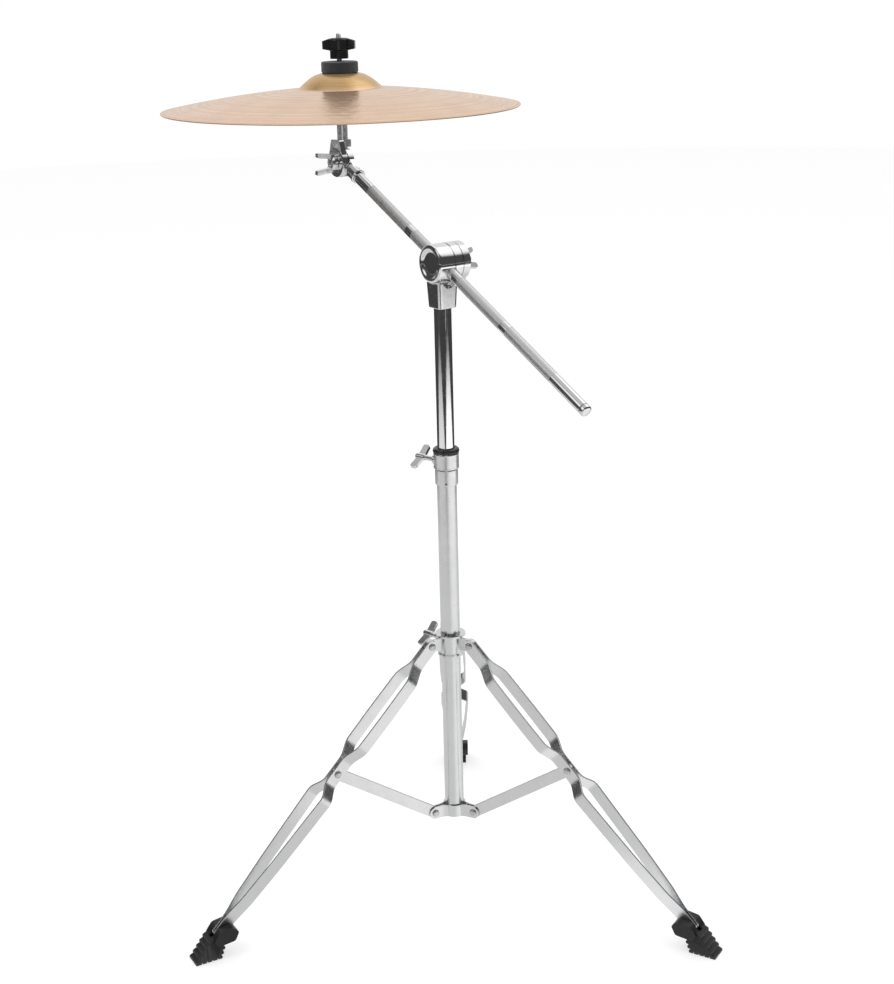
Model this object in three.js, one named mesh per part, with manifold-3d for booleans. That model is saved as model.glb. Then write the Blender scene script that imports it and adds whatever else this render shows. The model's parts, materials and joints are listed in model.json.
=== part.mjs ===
// Double-braced boom cymbal stand carrying a 16 inch crash cymbal. Millimetres, +Z up.
// It is modelled about the column's axis with the floor at z = 0, and then moved as a whole so that
// the origin is the centre of the bottom of its bounding box.
import * as THREE from 'three';
import { mergeVertices } from 'three/addons/utils/BufferGeometryUtils.js';
import Module from 'manifold-3d';

const wasm = await Module();
wasm.setup();

// ---------------------------------------------------------------- driving dimensions
const GAP = 0.3; // running clearance between neighbouring pieces
const ROUND = 24; // sides of the larger round pieces
const SMALL_ROUND = 12; // sides of rivets, bolts and bores

const LOWER_TUBE = { r: 11.1, bore: 9.9, bottom: 90, top: 533 }; // 22.2 mm steel tube
const UPPER_TUBE = { r: 9.55, bore: 8.3, bottom: 285, top: 725 }; // 19.1 mm steel tube
const BOOM_TUBE = { r: 6.35, bore: 5.1 }; // 12.7 mm steel tube

const BRACKET = { z: 98.2, pivotR: 27.3, height: 14.5, plate: 1.6, backR: 12.4 };
const HUB = { z: 310.2, pivotR: 26.2, height: 20, r: 13.2, tab: 3.4, flangeR: 17.3, flange: 2.2 };
const HUB_LIP = { r: 15, bottom: -15, top: -12.2 }; // the flared lower end of the hub, below its centre
const LEG = { angle: 44.54, length: 391.3, width: 14.6, plate: 2, brace: 179 };
const STRUT = { width: 13.6, plate: 3 };
const STRAP_OFFSET = HUB.tab / 2 + GAP + LEG.plate / 2; // strap centre to the leg's mid-plane
const FOOT = { length: 31, width: 22, ridges: 5, ridge: 5.4, topWidth: 28 };
const RIVET = { r: 2.2, headR: 4.2, head: 1.9 };

const COLLAR = { bottom: 501, step: 520, top: 538.3, r: 14.3, neckR: 12.9, boltZ: 527 };
const BOSS_FACE = 17; // the flat face of the collar's boss, from the column's axis
const BUSHING = { r: 14.8, height: 4.6 };

const DRUM = { z: 749.6, r: 21, cap: 16, split: -4, disc: -15, back: -25 }; // stations along its axis
const CLAMP_BOLT_R = 3.2;
const YOKE = { bottom: -48.6, top: -20, topWidth: 26, bottomWidth: 23.4 };
const BOOM = { azimuth: 126.45, elevation: 25.85, toTilter: 210, toEnd: 262 };

const TILTER = { discR: 16.5, back: -5, split: 3, front: 11, sleeveFrom: 18, sleeveTo: 34 };
const HEAD = { sleeveR: 6.2, blockBottom: 17.2, blockTop: 25.5, sleeveTop: 47 };
const ROD = { r: 4.15, threadR: 3, bottom: 27, shoulder: 82.8, top: 142 }; // above the tilter axis
const SEAT = { washerR: 19.8, washer: 2.2, feltR: 21, felt: 12.2, feltHole: 5.3, sleeveR: 4.9, nutGap: 3 };
const CYMBAL = { r: 203.2, bellR: 48, bellFlat: 17.5, bellHeight: 17, bowHeight: 21, plate: 1, hole: 6.2 };
const DRUM_NUT = { hubR: 7.4, hub: 8, reach: 18, turn: 62 };
const TILTER_NUT = { hubR: 8.2, hub: 6.5, reach: 25, turn: 84 };
const TOP_NUT = { hubR: 10.3, domeR: 11.4, height: 22.4, halfSpan: 18.3, wing: 7.5 };

// ---------------------------------------------------------------- materials
const finish = (color, roughness, metalness) =>
  new THREE.MeshStandardMaterial({ color, roughness, metalness });
const satinChrome = finish(0xd4d5d7, 0.28, 1);
const mirrorChrome = finish(0xe6e7ea, 0.06, 1);
const castChrome = finish(0xdadbde, 0.14, 1);
const zincSteel = finish(0xb9babd, 0.35, 1);
const blackRubber = finish(0x1b1b1c, 0.75, 0);
const blackNylon = finish(0x222223, 0.45, 0);
const blackFelt = finish(0x171718, 0.98, 0);
const bronze = finish(0xc89466, 0.3, 1);

// ---------------------------------------------------------------- shape helpers
const degrees = THREE.MathUtils.degToRad;

// A closed geometry as a manifold solid, with its faces pointing out.
function solid(geometry) {
  const bare = new THREE.BufferGeometry();
  bare.setAttribute('position', geometry.getAttribute('position').clone());
  if (geometry.index) bare.setIndex(geometry.index.clone());
  const merged = mergeVertices(bare, 1e-4);
  const corners = merged.getAttribute('position').array;
  const faces = [];
  let volume = 0;
  for (let i = 0; i < merged.index.count; i += 3) {
    const face = [0, 1, 2].map((k) => merged.index.getX(i + k));
    if (new Set(face).size < 3) continue;
    const [a, b, c] = face.map((k) => new THREE.Vector3().fromArray(corners, 3 * k));
    volume += a.dot(b.cross(c));
    faces.push(face);
  }
  const ordered = volume > 0 ? faces : faces.map(([a, b, c]) => [a, c, b]);
  const triVerts = new Uint32Array(ordered.flat());
  return new wasm.Manifold(new wasm.Mesh({ numProp: 3, vertProperties: corners, triVerts }));
}

// The solid of several geometries joined, less the geometries that are cut away.
function shaped(joined, cut = []) {
  let whole = joined.map(solid).reduce((a, b) => a.add(b));
  for (const tool of cut) whole = whole.subtract(solid(tool));
  return whole;
}

function geometryOf(whole) {
  const mesh = whole.getMesh();
  const geometry = new THREE.BufferGeometry();
  geometry.setAttribute('position', new THREE.BufferAttribute(mesh.vertProperties, 3));
  geometry.setIndex(new THREE.BufferAttribute(mesh.triVerts, 1));
  geometry.computeVertexNormals();
  return geometry;
}

// A round bar along Z, or along X or Y with the matching turn below.
function bar(r, from, to, sides = SMALL_ROUND) {
  const cylinder = new THREE.CylinderGeometry(r, r, to - from, sides);
  return cylinder.rotateX(Math.PI / 2).translate(0, 0, (from + to) / 2);
}
const alongX = (geometry) => geometry.rotateY(Math.PI / 2);
const alongY = (geometry) => geometry.rotateX(-Math.PI / 2);

// A profile of [radius, z] points, turned about Z.
function turned(profile, sides = ROUND) {
  const points = profile.map(([r, z]) => new THREE.Vector2(r, z));
  return new THREE.LatheGeometry(points, sides).rotateX(Math.PI / 2);
}

function box([x0, x1], [y0, y1], [z0, z1]) {
  const geometry = new THREE.BoxGeometry(x1 - x0, y1 - y0, z1 - z0);
  return geometry.translate((x0 + x1) / 2, (y0 + y1) / 2, (z0 + z1) / 2);
}

// A flat outline in XY, given as a THREE.Shape or as points, raised from z = from to z = to.
function plate(outline, from, to, steps = 8) {
  const isShape = outline instanceof THREE.Shape;
  const shape = isShape ? outline : new THREE.Shape(outline.map(([x, y]) => new THREE.Vector2(x, y)));
  const options = { depth: to - from, bevelEnabled: false, curveSegments: steps };
  return new THREE.ExtrudeGeometry(shape, options).translate(0, 0, from);
}

// The outline of a strip of even thickness along a bent centre line.
function strip(line, thickness) {
  const points = line.map(([x, y]) => new THREE.Vector2(x, y));
  const normals = points.slice(1).map((p, i) => {
    const d = p.clone().sub(points[i]).normalize();
    return new THREE.Vector2(-d.y, d.x);
  });
  const side = (sign) =>
    points.map((p, i) => {
      const a = normals[Math.max(i - 1, 0)];
      const b = normals[Math.min(i, normals.length - 1)];
      const mitre = a.clone().add(b).normalize();
      const reach = (sign * thickness) / 2 / mitre.dot(a);
      return p.clone().addScaledVector(mitre, reach);
    });
  return new THREE.Shape([...side(1), ...side(-1).reverse()]);
}

// A bar outline from x = 0 to x = length with round ends of the bar's half width.
function roundEnded(length, width) {
  const shape = new THREE.Shape();
  shape.absarc(0, 0, width / 2, Math.PI / 2, (3 * Math.PI) / 2, false);
  shape.absarc(length, 0, width / 2, -Math.PI / 2, Math.PI / 2, false);
  return shape;
}

function addPiece(parent, name, whole, material) {
  const mesh = new THREE.Mesh(geometryOf(whole), material);
  mesh.name = name;
  parent.add(mesh);
  return mesh;
}

// A frame whose X axis points outwards at an azimuth, for everything that repeats round the column.
function radialFrame(parent, azimuth, z = 0) {
  const frame = new THREE.Group();
  frame.position.z = z;
  frame.rotation.z = degrees(azimuth);
  parent.add(frame);
  return frame;
}

// ---------------------------------------------------------------- tripod
const legs = [
  { side: 'left', azimuth: 210 },
  { side: 'right', azimuth: 330 },
  { side: 'rear', azimuth: 90 },
];
const boltHole = { r: 3, clear: 3.3 };
const hubBolt = { azimuth: 140, z: 311.6, turn: 56 };
const collarBolt = { azimuth: 145, z: COLLAR.boltZ, turn: 58 };

// The hole that the collar's wing bolt passes through, from the column's axis out to a length.
function collarBoltHole(length) {
  const { azimuth, z } = collarBolt;
  return alongX(bar(boltHole.clear, 0, length)).translate(0, 0, z).rotateZ(degrees(azimuth));
}

function buildLowerTube(parent) {
  const { r, bore, bottom, top } = LOWER_TUBE;
  const hole = collarBoltHole(20);
  const tube = shaped([bar(r, bottom, top, ROUND)], [bar(bore, bottom - 1, top + 1, ROUND), hole]);
  addPiece(parent, 'lower_tube', tube, satinChrome);
}

// One of the three stamped plates of the bottom bracket: out along one ear, round the back of the
// tube and out along the next ear. Two neighbouring plates hold a strut between them.
function buildBracketPlate(parent, name, azimuth) {
  const flank = STRUT.plate / 2 + GAP + BRACKET.plate / 2;
  const earEnd = BRACKET.pivotR + BRACKET.height / 2;
  const bend = Math.asin((flank + 2.4) / BRACKET.backR);
  const toEar = (x, y, turn) => [
    x * Math.cos(turn) - y * Math.sin(turn),
    x * Math.sin(turn) + y * Math.cos(turn),
  ];
  const wrap = [];
  const steps = 6;
  for (let i = 0; i <= steps; i += 1) {
    const turn = bend + ((degrees(120) - 2 * bend) * i) / steps;
    wrap.push([BRACKET.backR * Math.cos(turn), BRACKET.backR * Math.sin(turn)]);
  }
  const nextEar = degrees(120);
  const line = [
    [earEnd, flank],
    [BRACKET.backR + 5.5, flank],
    ...wrap,
    toEar(BRACKET.backR + 5.5, -flank, nextEar),
    toEar(earEnd, -flank, nextEar),
  ];
  const half = BRACKET.height / 2;
  const pin = (turn) => alongY(bar(RIVET.r + GAP, -8, 8)).translate(BRACKET.pivotR, 0, 0).rotateZ(turn);
  let body = shaped([plate(strip(line, BRACKET.plate), -half, half)], [pin(0), pin(nextEar)]);
  // What is cut away to round an ear's end about its rivet.
  const rounding = (turn) =>
    shaped(
      [box([BRACKET.pivotR, earEnd + 1], [-9, 9], [-half - 1, half + 1]).rotateZ(turn)],
      [alongY(bar(half, -10, 10, 28)).translate(BRACKET.pivotR, 0, 0).rotateZ(turn)],
    );
  body = body.subtract(rounding(0)).subtract(rounding(nextEar));
  addPiece(radialFrame(parent, azimuth, BRACKET.z), name, body, satinChrome);
}

// A rivet across a leg's mid-plane, with a round head outside each face at y = -reach and y = reach.
function rivet(reach) {
  const { r, headR, head } = RIVET;
  const from = reach + GAP;
  const dome = [
    [headR, from],
    [headR * 0.6, from + head],
  ];
  const half = [[r, from], ...dome, [0, from + head]];
  const other = half.map(([x, y]) => [x, -y]).reverse();
  return alongY(turned([...other, ...half], SMALL_ROUND));
}

// The half rivet in one strap at the brace joint, where the linkage is opened.
function strapRivet(side) {
  const { r, headR, head } = RIVET;
  const inner = STRAP_OFFSET - LEG.plate / 2 + 0.1;
  const outer = STRAP_OFFSET + LEG.plate / 2 + GAP;
  const profile = [
    [0, inner],
    [r, inner],
    [r, outer],
    [headR, outer],
    [headR * 0.6, outer + head],
    [0, outer + head],
  ];
  const geometry = alongY(turned(profile, SMALL_ROUND));
  return side > 0 ? geometry : geometry.rotateX(Math.PI);
}

// The hub that slides on the lower tube: a sleeve, three tabs for the legs and a round top flange.
function buildHub(parent) {
  const { z, pivotR, height, r, tab, flangeR, flange } = HUB;
  const half = height / 2;
  const tabHalf = LEG.width / 2;
  const sleeve = bar(r, HUB_LIP.bottom, half, ROUND);
  const lip = bar(HUB_LIP.r, HUB_LIP.bottom, HUB_LIP.top, ROUND);
  const joined = [sleeve, lip, bar(flangeR, half - 0.5, half - 0.5 + flange, ROUND)];
  const cut = [bar(LOWER_TUBE.r + GAP, -40, 40, ROUND)];
  for (const { azimuth } of legs) {
    const turn = degrees(azimuth);
    const outline = plate(roundEnded(pivotR - 12, 2 * tabHalf), -tab / 2, tab / 2, 10);
    joined.push(outline.rotateX(Math.PI / 2).translate(12, 0, 0).rotateZ(turn));
    cut.push(alongY(bar(RIVET.r + GAP, -5, 5)).translate(pivotR, 0, 0).rotateZ(turn));
  }
  const boltTurn = degrees(hubBolt.azimuth);
  const bossZ = hubBolt.z - z;
  joined.push(alongX(bar(5.2, r - 1, r + 2.5)).translate(0, 0, bossZ).rotateZ(boltTurn));
  cut.push(alongX(bar(boltHole.clear, 5, 30)).translate(0, 0, bossZ).rotateZ(boltTurn));
  const body = shaped(joined, cut);
  addPiece(parent, 'leg_hub', body.translate([0, 0, z]), satinChrome);
  // Two screws with slotted round heads stand on the front of the flange.
  const screwZ = z + half - 0.5 + flange + GAP;
  for (const [side, turn] of [['left', 235], ['right', 305]]) {
    const head = turned([[0, 0], [2.7, 0], [2.7, 1.6], [1.6, 3], [0, 3]], SMALL_ROUND);
    const slot = box([-4, 4], [-0.5, 0.5], [2, 5]);
    const screw = shaped([head], [slot]);
    const seat = radialFrame(parent, turn, screwZ);
    addPiece(seat, `hub_screw_${side}`, screw, zincSteel).position.x = 14.2;
  }
}

// A bolt along +X with a cast handle: a round hub across which two straight wings stand.
function wingBolt(tip, seat, turn) {
  const handleX = seat + 12;
  const wing = new THREE.Shape();
  wing.moveTo(1, -3);
  wing.quadraticCurveTo(2.2, -9, 3.4, -14.5);
  wing.quadraticCurveTo(4.4, -17, 7.4, -16.8);
  wing.quadraticCurveTo(11, -16.2, 10.6, -12.6);
  wing.quadraticCurveTo(9.6, -6, 9.6, 0);
  wing.quadraticCurveTo(9.6, 6, 10.6, 12.6);
  wing.quadraticCurveTo(11, 16.2, 7.4, 16.8);
  wing.quadraticCurveTo(4.4, 17, 3.4, 14.5);
  wing.quadraticCurveTo(2.2, 9, 1, 3);
  wing.closePath();
  const handle = plate(wing, -2, 2, 5).rotateX(Math.PI / 2).translate(handleX, 0, 0);
  const head = alongX(bar(3.7, handleX, handleX + 12));
  const shank = alongX(bar(boltHole.r, tip, handleX + 1));
  const whole = shaped([handle, head, shank]);
  return whole.rotate([turn, 0, 0]);
}

function buildLegStraps(frame, side) {
  const inner = STRAP_OFFSET;
  const upper = 14; // half the spread of the straps above the brace
  const lower = 16.5; // and below it
  const line = [
    [-9, inner],
    [29, inner],
    [47, upper],
    [100, upper + 0.6],
    [142, upper],
    [159, inner],
    [194, inner],
    [209, lower],
    [300, lower - 4.6],
    [352, 7.4],
    [377, inner - 0.9],
    [LEG.length + 14, inner - 0.9],
  ];
  const half = LEG.width / 2;
  const silhouette = plate(roundEnded(LEG.length + 30, LEG.width), -30, 30, 10).rotateX(Math.PI / 2);
  for (const [letter, sign] of [['a', 1], ['b', -1]]) {
    const bent = line.map(([x, y]) => [x, sign * y]);
    const blank = solid(plate(strip(bent, LEG.plate), -half, half));
    const holes = [0, LEG.brace].map((x) => solid(alongY(bar(RIVET.r + GAP, -30, 30)).translate(x, 0, 0)));
    const strap = holes.reduce((a, b) => a.subtract(b), blank.intersect(solid(silhouette)));
    addPiece(frame, `${side}_leg_strap_${letter}`, strap, satinChrome);
    const head = addPiece(frame, `${side}_leg_rivet_${letter}`, shaped([strapRivet(sign)]), zincSteel);
    head.position.x = LEG.brace;
  }
}

// Rubber foot: a stack of ridges that spreads outwards to the floor, under a wider socket block.
function buildFoot(parent, side, azimuth, strapFrame) {
  const { length, width, ridges, ridge, topWidth } = FOOT;
  const outerR = 338;
  const outerSlope = 0.78;
  const innerSlope = 0.36;
  const outer = [];
  const inner = [];
  for (let i = 0; i < ridges; i += 1) {
    const low = i * ridge;
    const reach = outerR - outerSlope * low;
    const back = outerR - length - innerSlope * low;
    outer.push([reach, low], [reach - 0.6, low + ridge * 0.45], [reach - 5, low + ridge * 0.8]);
    inner.push([back, low], [back - 0.4, low + ridge * 0.45], [back + 2.6, low + ridge * 0.8]);
  }
  const top = ridges * ridge;
  outer.push([outerR - outerSlope * top - 3, top], [outerR - outerSlope * top - 8, 33]);
  inner.push([outerR - length - innerSlope * top + 1, top], [outerR - length - innerSlope * top + 1, 33]);
  const profile = plate([...outer, ...inner.reverse()], -width / 2, width / 2);
  const socket = [[291, 19], [311, 17], [316, 24], [308, 34.5], [293, 36.5], [286, 29]];
  const block = plate(socket, -topWidth / 2, topWidth / 2);
  const upright = (geometry) => geometry.rotateX(Math.PI / 2);
  // The straps' slot, cut with the running clearance all round.
  const slotHalf = STRAP_OFFSET - 0.9 + LEG.plate / 2 + GAP;
  const slot = box([378, LEG.length + 14 + 1], [-slotHalf, slotHalf], [-LEG.width / 2 - GAP, LEG.width / 2 + GAP]);
  strapFrame.updateMatrix();
  slot.applyMatrix4(strapFrame.matrix);
  const foot = shaped([upright(profile), upright(block)], [slot]);
  addPiece(radialFrame(parent, azimuth), `${side}_foot`, foot, blackRubber);
}

function buildLeg(parent, side, azimuth) {
  const frame = radialFrame(parent, azimuth);
  const strapFrame = new THREE.Group();
  strapFrame.position.set(HUB.pivotR, 0, HUB.z);
  strapFrame.rotation.y = degrees(90 - LEG.angle);
  frame.add(strapFrame);
  buildLegStraps(strapFrame, side);
  buildFoot(parent, side, azimuth, strapFrame);

  const hubPin = addPiece(frame, `${side}_hub_rivet`, shaped([rivet(STRAP_OFFSET + 1)]), zincSteel);
  hubPin.position.set(HUB.pivotR, 0, HUB.z);
  const earReach = STRUT.plate / 2 + GAP + BRACKET.plate;
  const bracketPin = addPiece(frame, `${side}_bracket_rivet`, shaped([rivet(earReach)]), zincSteel);
  bracketPin.position.set(BRACKET.pivotR, 0, BRACKET.z);

  // The brace from the bottom bracket up to the leg. Its outer end has no pin of its own.
  const braceR = HUB.pivotR + LEG.brace * Math.sin(degrees(LEG.angle));
  const braceZ = HUB.z - LEG.brace * Math.cos(degrees(LEG.angle));
  const run = braceR - BRACKET.pivotR;
  const rise = braceZ - BRACKET.z;
  const outline = roundEnded(Math.hypot(run, rise), STRUT.width);
  const blank = plate(outline, -STRUT.plate / 2, STRUT.plate / 2, 10).rotateX(Math.PI / 2);
  const strut = shaped([blank], [alongY(bar(RIVET.r + GAP, -5, 5))]);
  const mesh = addPiece(frame, `${side}_brace`, strut, satinChrome);
  mesh.position.set(BRACKET.pivotR, 0, BRACKET.z);
  mesh.rotation.y = -Math.atan2(rise, run);
}

// ---------------------------------------------------------------- column
function buildCollar(parent) {
  const { bottom, step, top, r, neckR, boltZ } = COLLAR;
  const inside = LOWER_TUBE.r + GAP;
  const profile = [
    [inside, bottom],
    [neckR - 0.4, bottom],
    [neckR, bottom + 1],
    [neckR, step - 1],
    [r, step],
    [r, top - 1.2],
    [r - 1, top],
    [inside, top],
    [inside, bottom],
  ];
  const bossBar = alongX(bar(5.6, 12, BOSS_FACE)).translate(0, 0, boltZ).rotateZ(degrees(collarBolt.azimuth));
  const boss = shaped([bossBar], [bar(inside, bottom, top, ROUND)]);
  const sleeve = solid(turned(profile)).add(boss).subtract(solid(collarBoltHole(30)));
  addPiece(parent, 'collar', sleeve, satinChrome);
  const rim = top + GAP;
  const ring = [
    [UPPER_TUBE.r + GAP, rim],
    [BUSHING.r - 0.6, rim],
    [BUSHING.r, rim + 0.8],
    [BUSHING.r, rim + BUSHING.height - 2],
    [BUSHING.r - 2.2, rim + BUSHING.height],
    [UPPER_TUBE.r + GAP, rim + BUSHING.height],
    [UPPER_TUBE.r + GAP, rim],
  ];
  addPiece(parent, 'collar_bushing', shaped([turned(ring)]), blackNylon);
  const bolt = wingBolt(UPPER_TUBE.r + 0.5, BOSS_FACE, collarBolt.turn);
  addPiece(radialFrame(parent, collarBolt.azimuth, boltZ), 'collar_wing_bolt', bolt, castChrome);
}

function buildUpperTube(parent) {
  const { r, bore, bottom, top } = UPPER_TUBE;
  const tube = shaped([bar(r, bottom, top, ROUND)], [bar(bore, bottom - 1, top + 1, ROUND)]);
  addPiece(parent, 'upper_tube', tube, mirrorChrome);
}

// ---------------------------------------------------------------- boom clamp
// In the clamp's frames X points along the boom to the tilter, Y along the drum's axis to its cap.
function buildYoke(frame) {
  const { bottom, top, topWidth, bottomWidth } = YOKE;
  const block = new THREE.CylinderGeometry(topWidth / Math.SQRT2, bottomWidth / Math.SQRT2, top - bottom, 4);
  block.rotateY(Math.PI / 4).rotateX(Math.PI / 2).translate(0, 0, (top + bottom) / 2);
  const half = topWidth / 2;
  const rounded = bar(half + 2.6, bottom - 1, top + 1, ROUND);
  const body = solid(block).intersect(solid(rounded));
  const neck = box([-9, 9], [-DRUM.r, 11], [top - 3, -8]);
  const web = box([-9, 9], [DRUM.back, DRUM.disc - GAP], [top - 3, 0]);
  const disc = alongY(bar(DRUM.r, DRUM.back, DRUM.disc - GAP / 2, ROUND));
  const seat = alongY(bar(DRUM.r + 0.8, DRUM.disc - GAP / 2, 40, 36));
  const tubeBore = bar(UPPER_TUBE.r + GAP, bottom - 1, UPPER_TUBE.top - DRUM.z + GAP, ROUND);
  const boltBore = alongY(bar(CLAMP_BOLT_R + GAP, -60, 0));
  // The notch lets the boom's lower half swing down in front of the column.
  const notch = alongX(bar(8.2, -30, -7.5, 20)).translate(0, 0, top + 1.5);
  const whole = body.add(solid(neck)).add(solid(web)).subtract(solid(seat)).add(solid(disc));
  const cuts = [tubeBore, boltBore, notch].map(solid);
  addPiece(frame, 'boom_yoke', cuts.reduce((a, b) => a.subtract(b), whole), castChrome);
}

function buildClamp(frame) {
  const { r, cap, split, disc } = DRUM;
  const boomBore = () => alongX(bar(BOOM_TUBE.r + GAP, -30, 30, 24));
  const eyeHalf = 3.3;
  const eyeR = 9.3;
  const pocket = () => alongX(bar(eyeR + 0.5, -eyeHalf - GAP, eyeHalf + GAP, 24));
  const capProfile = [
    [0, split + GAP / 2],
    [r, split + GAP / 2],
    [r, cap - 2.6],
    [r - 2.6, cap],
    [r - 4.6, cap],
    [r - 8, cap - 2],
    [0, cap - 2.4],
  ];
  const capBody = shaped([alongY(turned(capProfile))], [boomBore(), pocket()]);
  addPiece(frame, 'drum_cap', capBody, mirrorChrome);
  const boltBore = alongY(bar(CLAMP_BOLT_R + GAP, -40, 0));
  const discBody = shaped(
    [alongY(bar(r, disc + GAP / 2, split - GAP / 2, ROUND))],
    [boomBore(), pocket(), boltBore],
  );
  addPiece(frame, 'drum_disc', discBody, mirrorChrome);
  const eye = alongX(bar(eyeR, -eyeHalf, eyeHalf, 24));
  const shank = alongY(bar(CLAMP_BOLT_R, -38, -7));
  addPiece(frame, 'clamp_eyebolt', shaped([eye, shank], [boomBore()]), zincSteel);
}

// A cast nut along Z with two prongs that rise from its rim and lean outwards.
function prongNut({ hubR, hub, reach }, bore) {
  const prong = new THREE.Shape();
  prong.moveTo(2, 0.5);
  prong.lineTo(hubR - 0.5, 0.5);
  prong.quadraticCurveTo(hubR + 2.2, hub * 0.5, hubR + 2.6, hub);
  prong.lineTo(hubR + 4.4, reach - 2);
  prong.quadraticCurveTo(hubR + 4.2, reach, hubR + 2.2, reach);
  prong.quadraticCurveTo(hubR - 0.8, reach, hubR - 1.2, reach - 2);
  prong.lineTo(hubR - 2.6, hub + 4);
  prong.quadraticCurveTo(hubR - 4, hub, 2, hub);
  prong.closePath();
  const wing = () => plate(prong, -2.6, 2.6, 4).rotateX(Math.PI / 2);
  const collar = turned([[0, 0], [hubR - 1, 0], [hubR, 1], [hubR, hub - 2], [hubR - 2, hub], [0, hub]], 24);
  const cuts = bore ? [bar(bore, -1, reach + 1)] : [];
  return shaped([collar, wing(), wing().rotateZ(Math.PI)], cuts);
}

function buildDrumNut(frame) {
  const nut = prongNut(DRUM_NUT, CLAMP_BOLT_R + GAP);
  const seat = new THREE.Group();
  seat.position.y = DRUM.back - GAP;
  seat.rotation.set(Math.PI / 2, 0, 0);
  frame.add(seat);
  addPiece(seat, 'drum_wing_nut', nut, castChrome).rotation.z = degrees(DRUM_NUT.turn);
}

function buildBoom(frame) {
  const { toTilter, toEnd } = BOOM;
  const top = toTilter - TILTER.sleeveFrom - 1.2;
  const tube = shaped(
    [alongX(bar(BOOM_TUBE.r, -toEnd, top, 24))],
    [alongX(bar(BOOM_TUBE.bore, -toEnd - 1, top + 1, 24))],
  );
  addPiece(frame, 'boom_arm', tube, mirrorChrome);
  const plug = [
    [0, 0],
    [BOOM_TUBE.bore - GAP, 0],
    [BOOM_TUBE.bore - GAP, -12],
    [BOOM_TUBE.r, -12],
    [BOOM_TUBE.r, -16.4],
    [BOOM_TUBE.r - 1.6, -18.2],
    [0, -18.6],
  ];
  const plugMesh = addPiece(frame, 'boom_end_plug', shaped([alongX(turned(plug, 24))]), castChrome);
  plugMesh.position.x = 12 - GAP - toEnd;
}

// ---------------------------------------------------------------- tilter and cymbal seat
function buildTilterBase(frame) {
  const { discR, back, split, sleeveFrom, sleeveTo } = TILTER;
  const face = split - GAP / 2;
  const disc = alongY(bar(discR, back, face, ROUND));
  const web = plate([[0, -15], [0, 15], [-20, 8], [-26, 7], [-26, -7], [-20, -8]], -face, -back);
  const sleeve = alongX(bar(7.7, -sleeveTo, -sleeveFrom + 1.5, 24));
  const lip = alongX(bar(8.6, -sleeveTo, -sleeveTo + 3, 24));
  const bore = alongX(bar(BOOM_TUBE.r + GAP, -sleeveTo - 1, -sleeveFrom - 0.9, 24));
  const boltBore = alongY(bar(boltHole.clear, -30, 30));
  const joined = [disc, web.rotateX(Math.PI / 2), sleeve, lip];
  addPiece(frame, 'tilter_base', shaped(joined, [bore, boltBore]), castChrome);
}

function buildTilterHead(frame) {
  const { discR, split, front } = TILTER;
  const { sleeveR, blockBottom, blockTop, sleeveTop } = HEAD;
  const face = split + GAP / 2;
  const disc = alongY(bar(discR, face, front, ROUND));
  const web = plate([[-14, 8], [14, 8], [8.5, blockTop], [-8.5, blockTop]], -front, -face);
  const block = box([-7.6, 7.6], [-7.2, front - 1], [blockBottom, blockTop]);
  const sleeve = bar(sleeveR, blockBottom + 2, sleeveTop, 24);
  const bore = bar(ROD.r + GAP, ROD.bottom - GAP, sleeveTop + 1, 20);
  const boltBore = alongY(bar(boltHole.clear, -30, 30));
  const joined = [disc, web.rotateX(Math.PI / 2), block, sleeve];
  addPiece(frame, 'tilter_head', shaped(joined, [bore, boltBore]), castChrome);
  const nut = prongNut(TILTER_NUT, 0).add(solid(bar(boltHole.r, -18, 2)));
  const seat = new THREE.Group();
  seat.position.y = front + GAP;
  seat.rotation.x = -Math.PI / 2;
  frame.add(seat);
  addPiece(seat, 'tilter_wing_bolt', nut, castChrome).rotation.z = degrees(TILTER_NUT.turn);
}

function buildCymbalRod(frame) {
  const { r, threadR, bottom, shoulder, top } = ROD;
  const profile = [[0, bottom], [r, bottom], [r, shoulder], [threadR, shoulder], [threadR, top], [0, top]];
  addPiece(frame, 'cymbal_rod', shaped([turned(profile, 20)]), mirrorChrome);
}

// A washer or felt ring from z = low to z = high with softened outer edges.
function ring(inner, outer, low, high, soften) {
  const profile = [
    [inner, low],
    [outer - soften, low],
    [outer, low + soften],
    [outer, high - soften],
    [outer - soften, high],
    [inner, high],
    [inner, low],
  ];
  return turned(profile);
}

// The height of the cymbal's middle surface below the top of its bell, at a radius.
function cymbalDrop(radius) {
  const { r, bellR, bellFlat, bellHeight, bowHeight } = CYMBAL;
  if (radius <= bellFlat) return 0;
  if (radius <= bellR) {
    const t = (radius - bellFlat) / (bellR - bellFlat);
    return bellHeight * (1 - Math.cos((t * Math.PI) / 2)) ** 1.08;
  }
  const t = (radius - bellR) / (r - bellR);
  return bellHeight + bowHeight * (0.55 * t + 0.45 * t * t);
}

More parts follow.
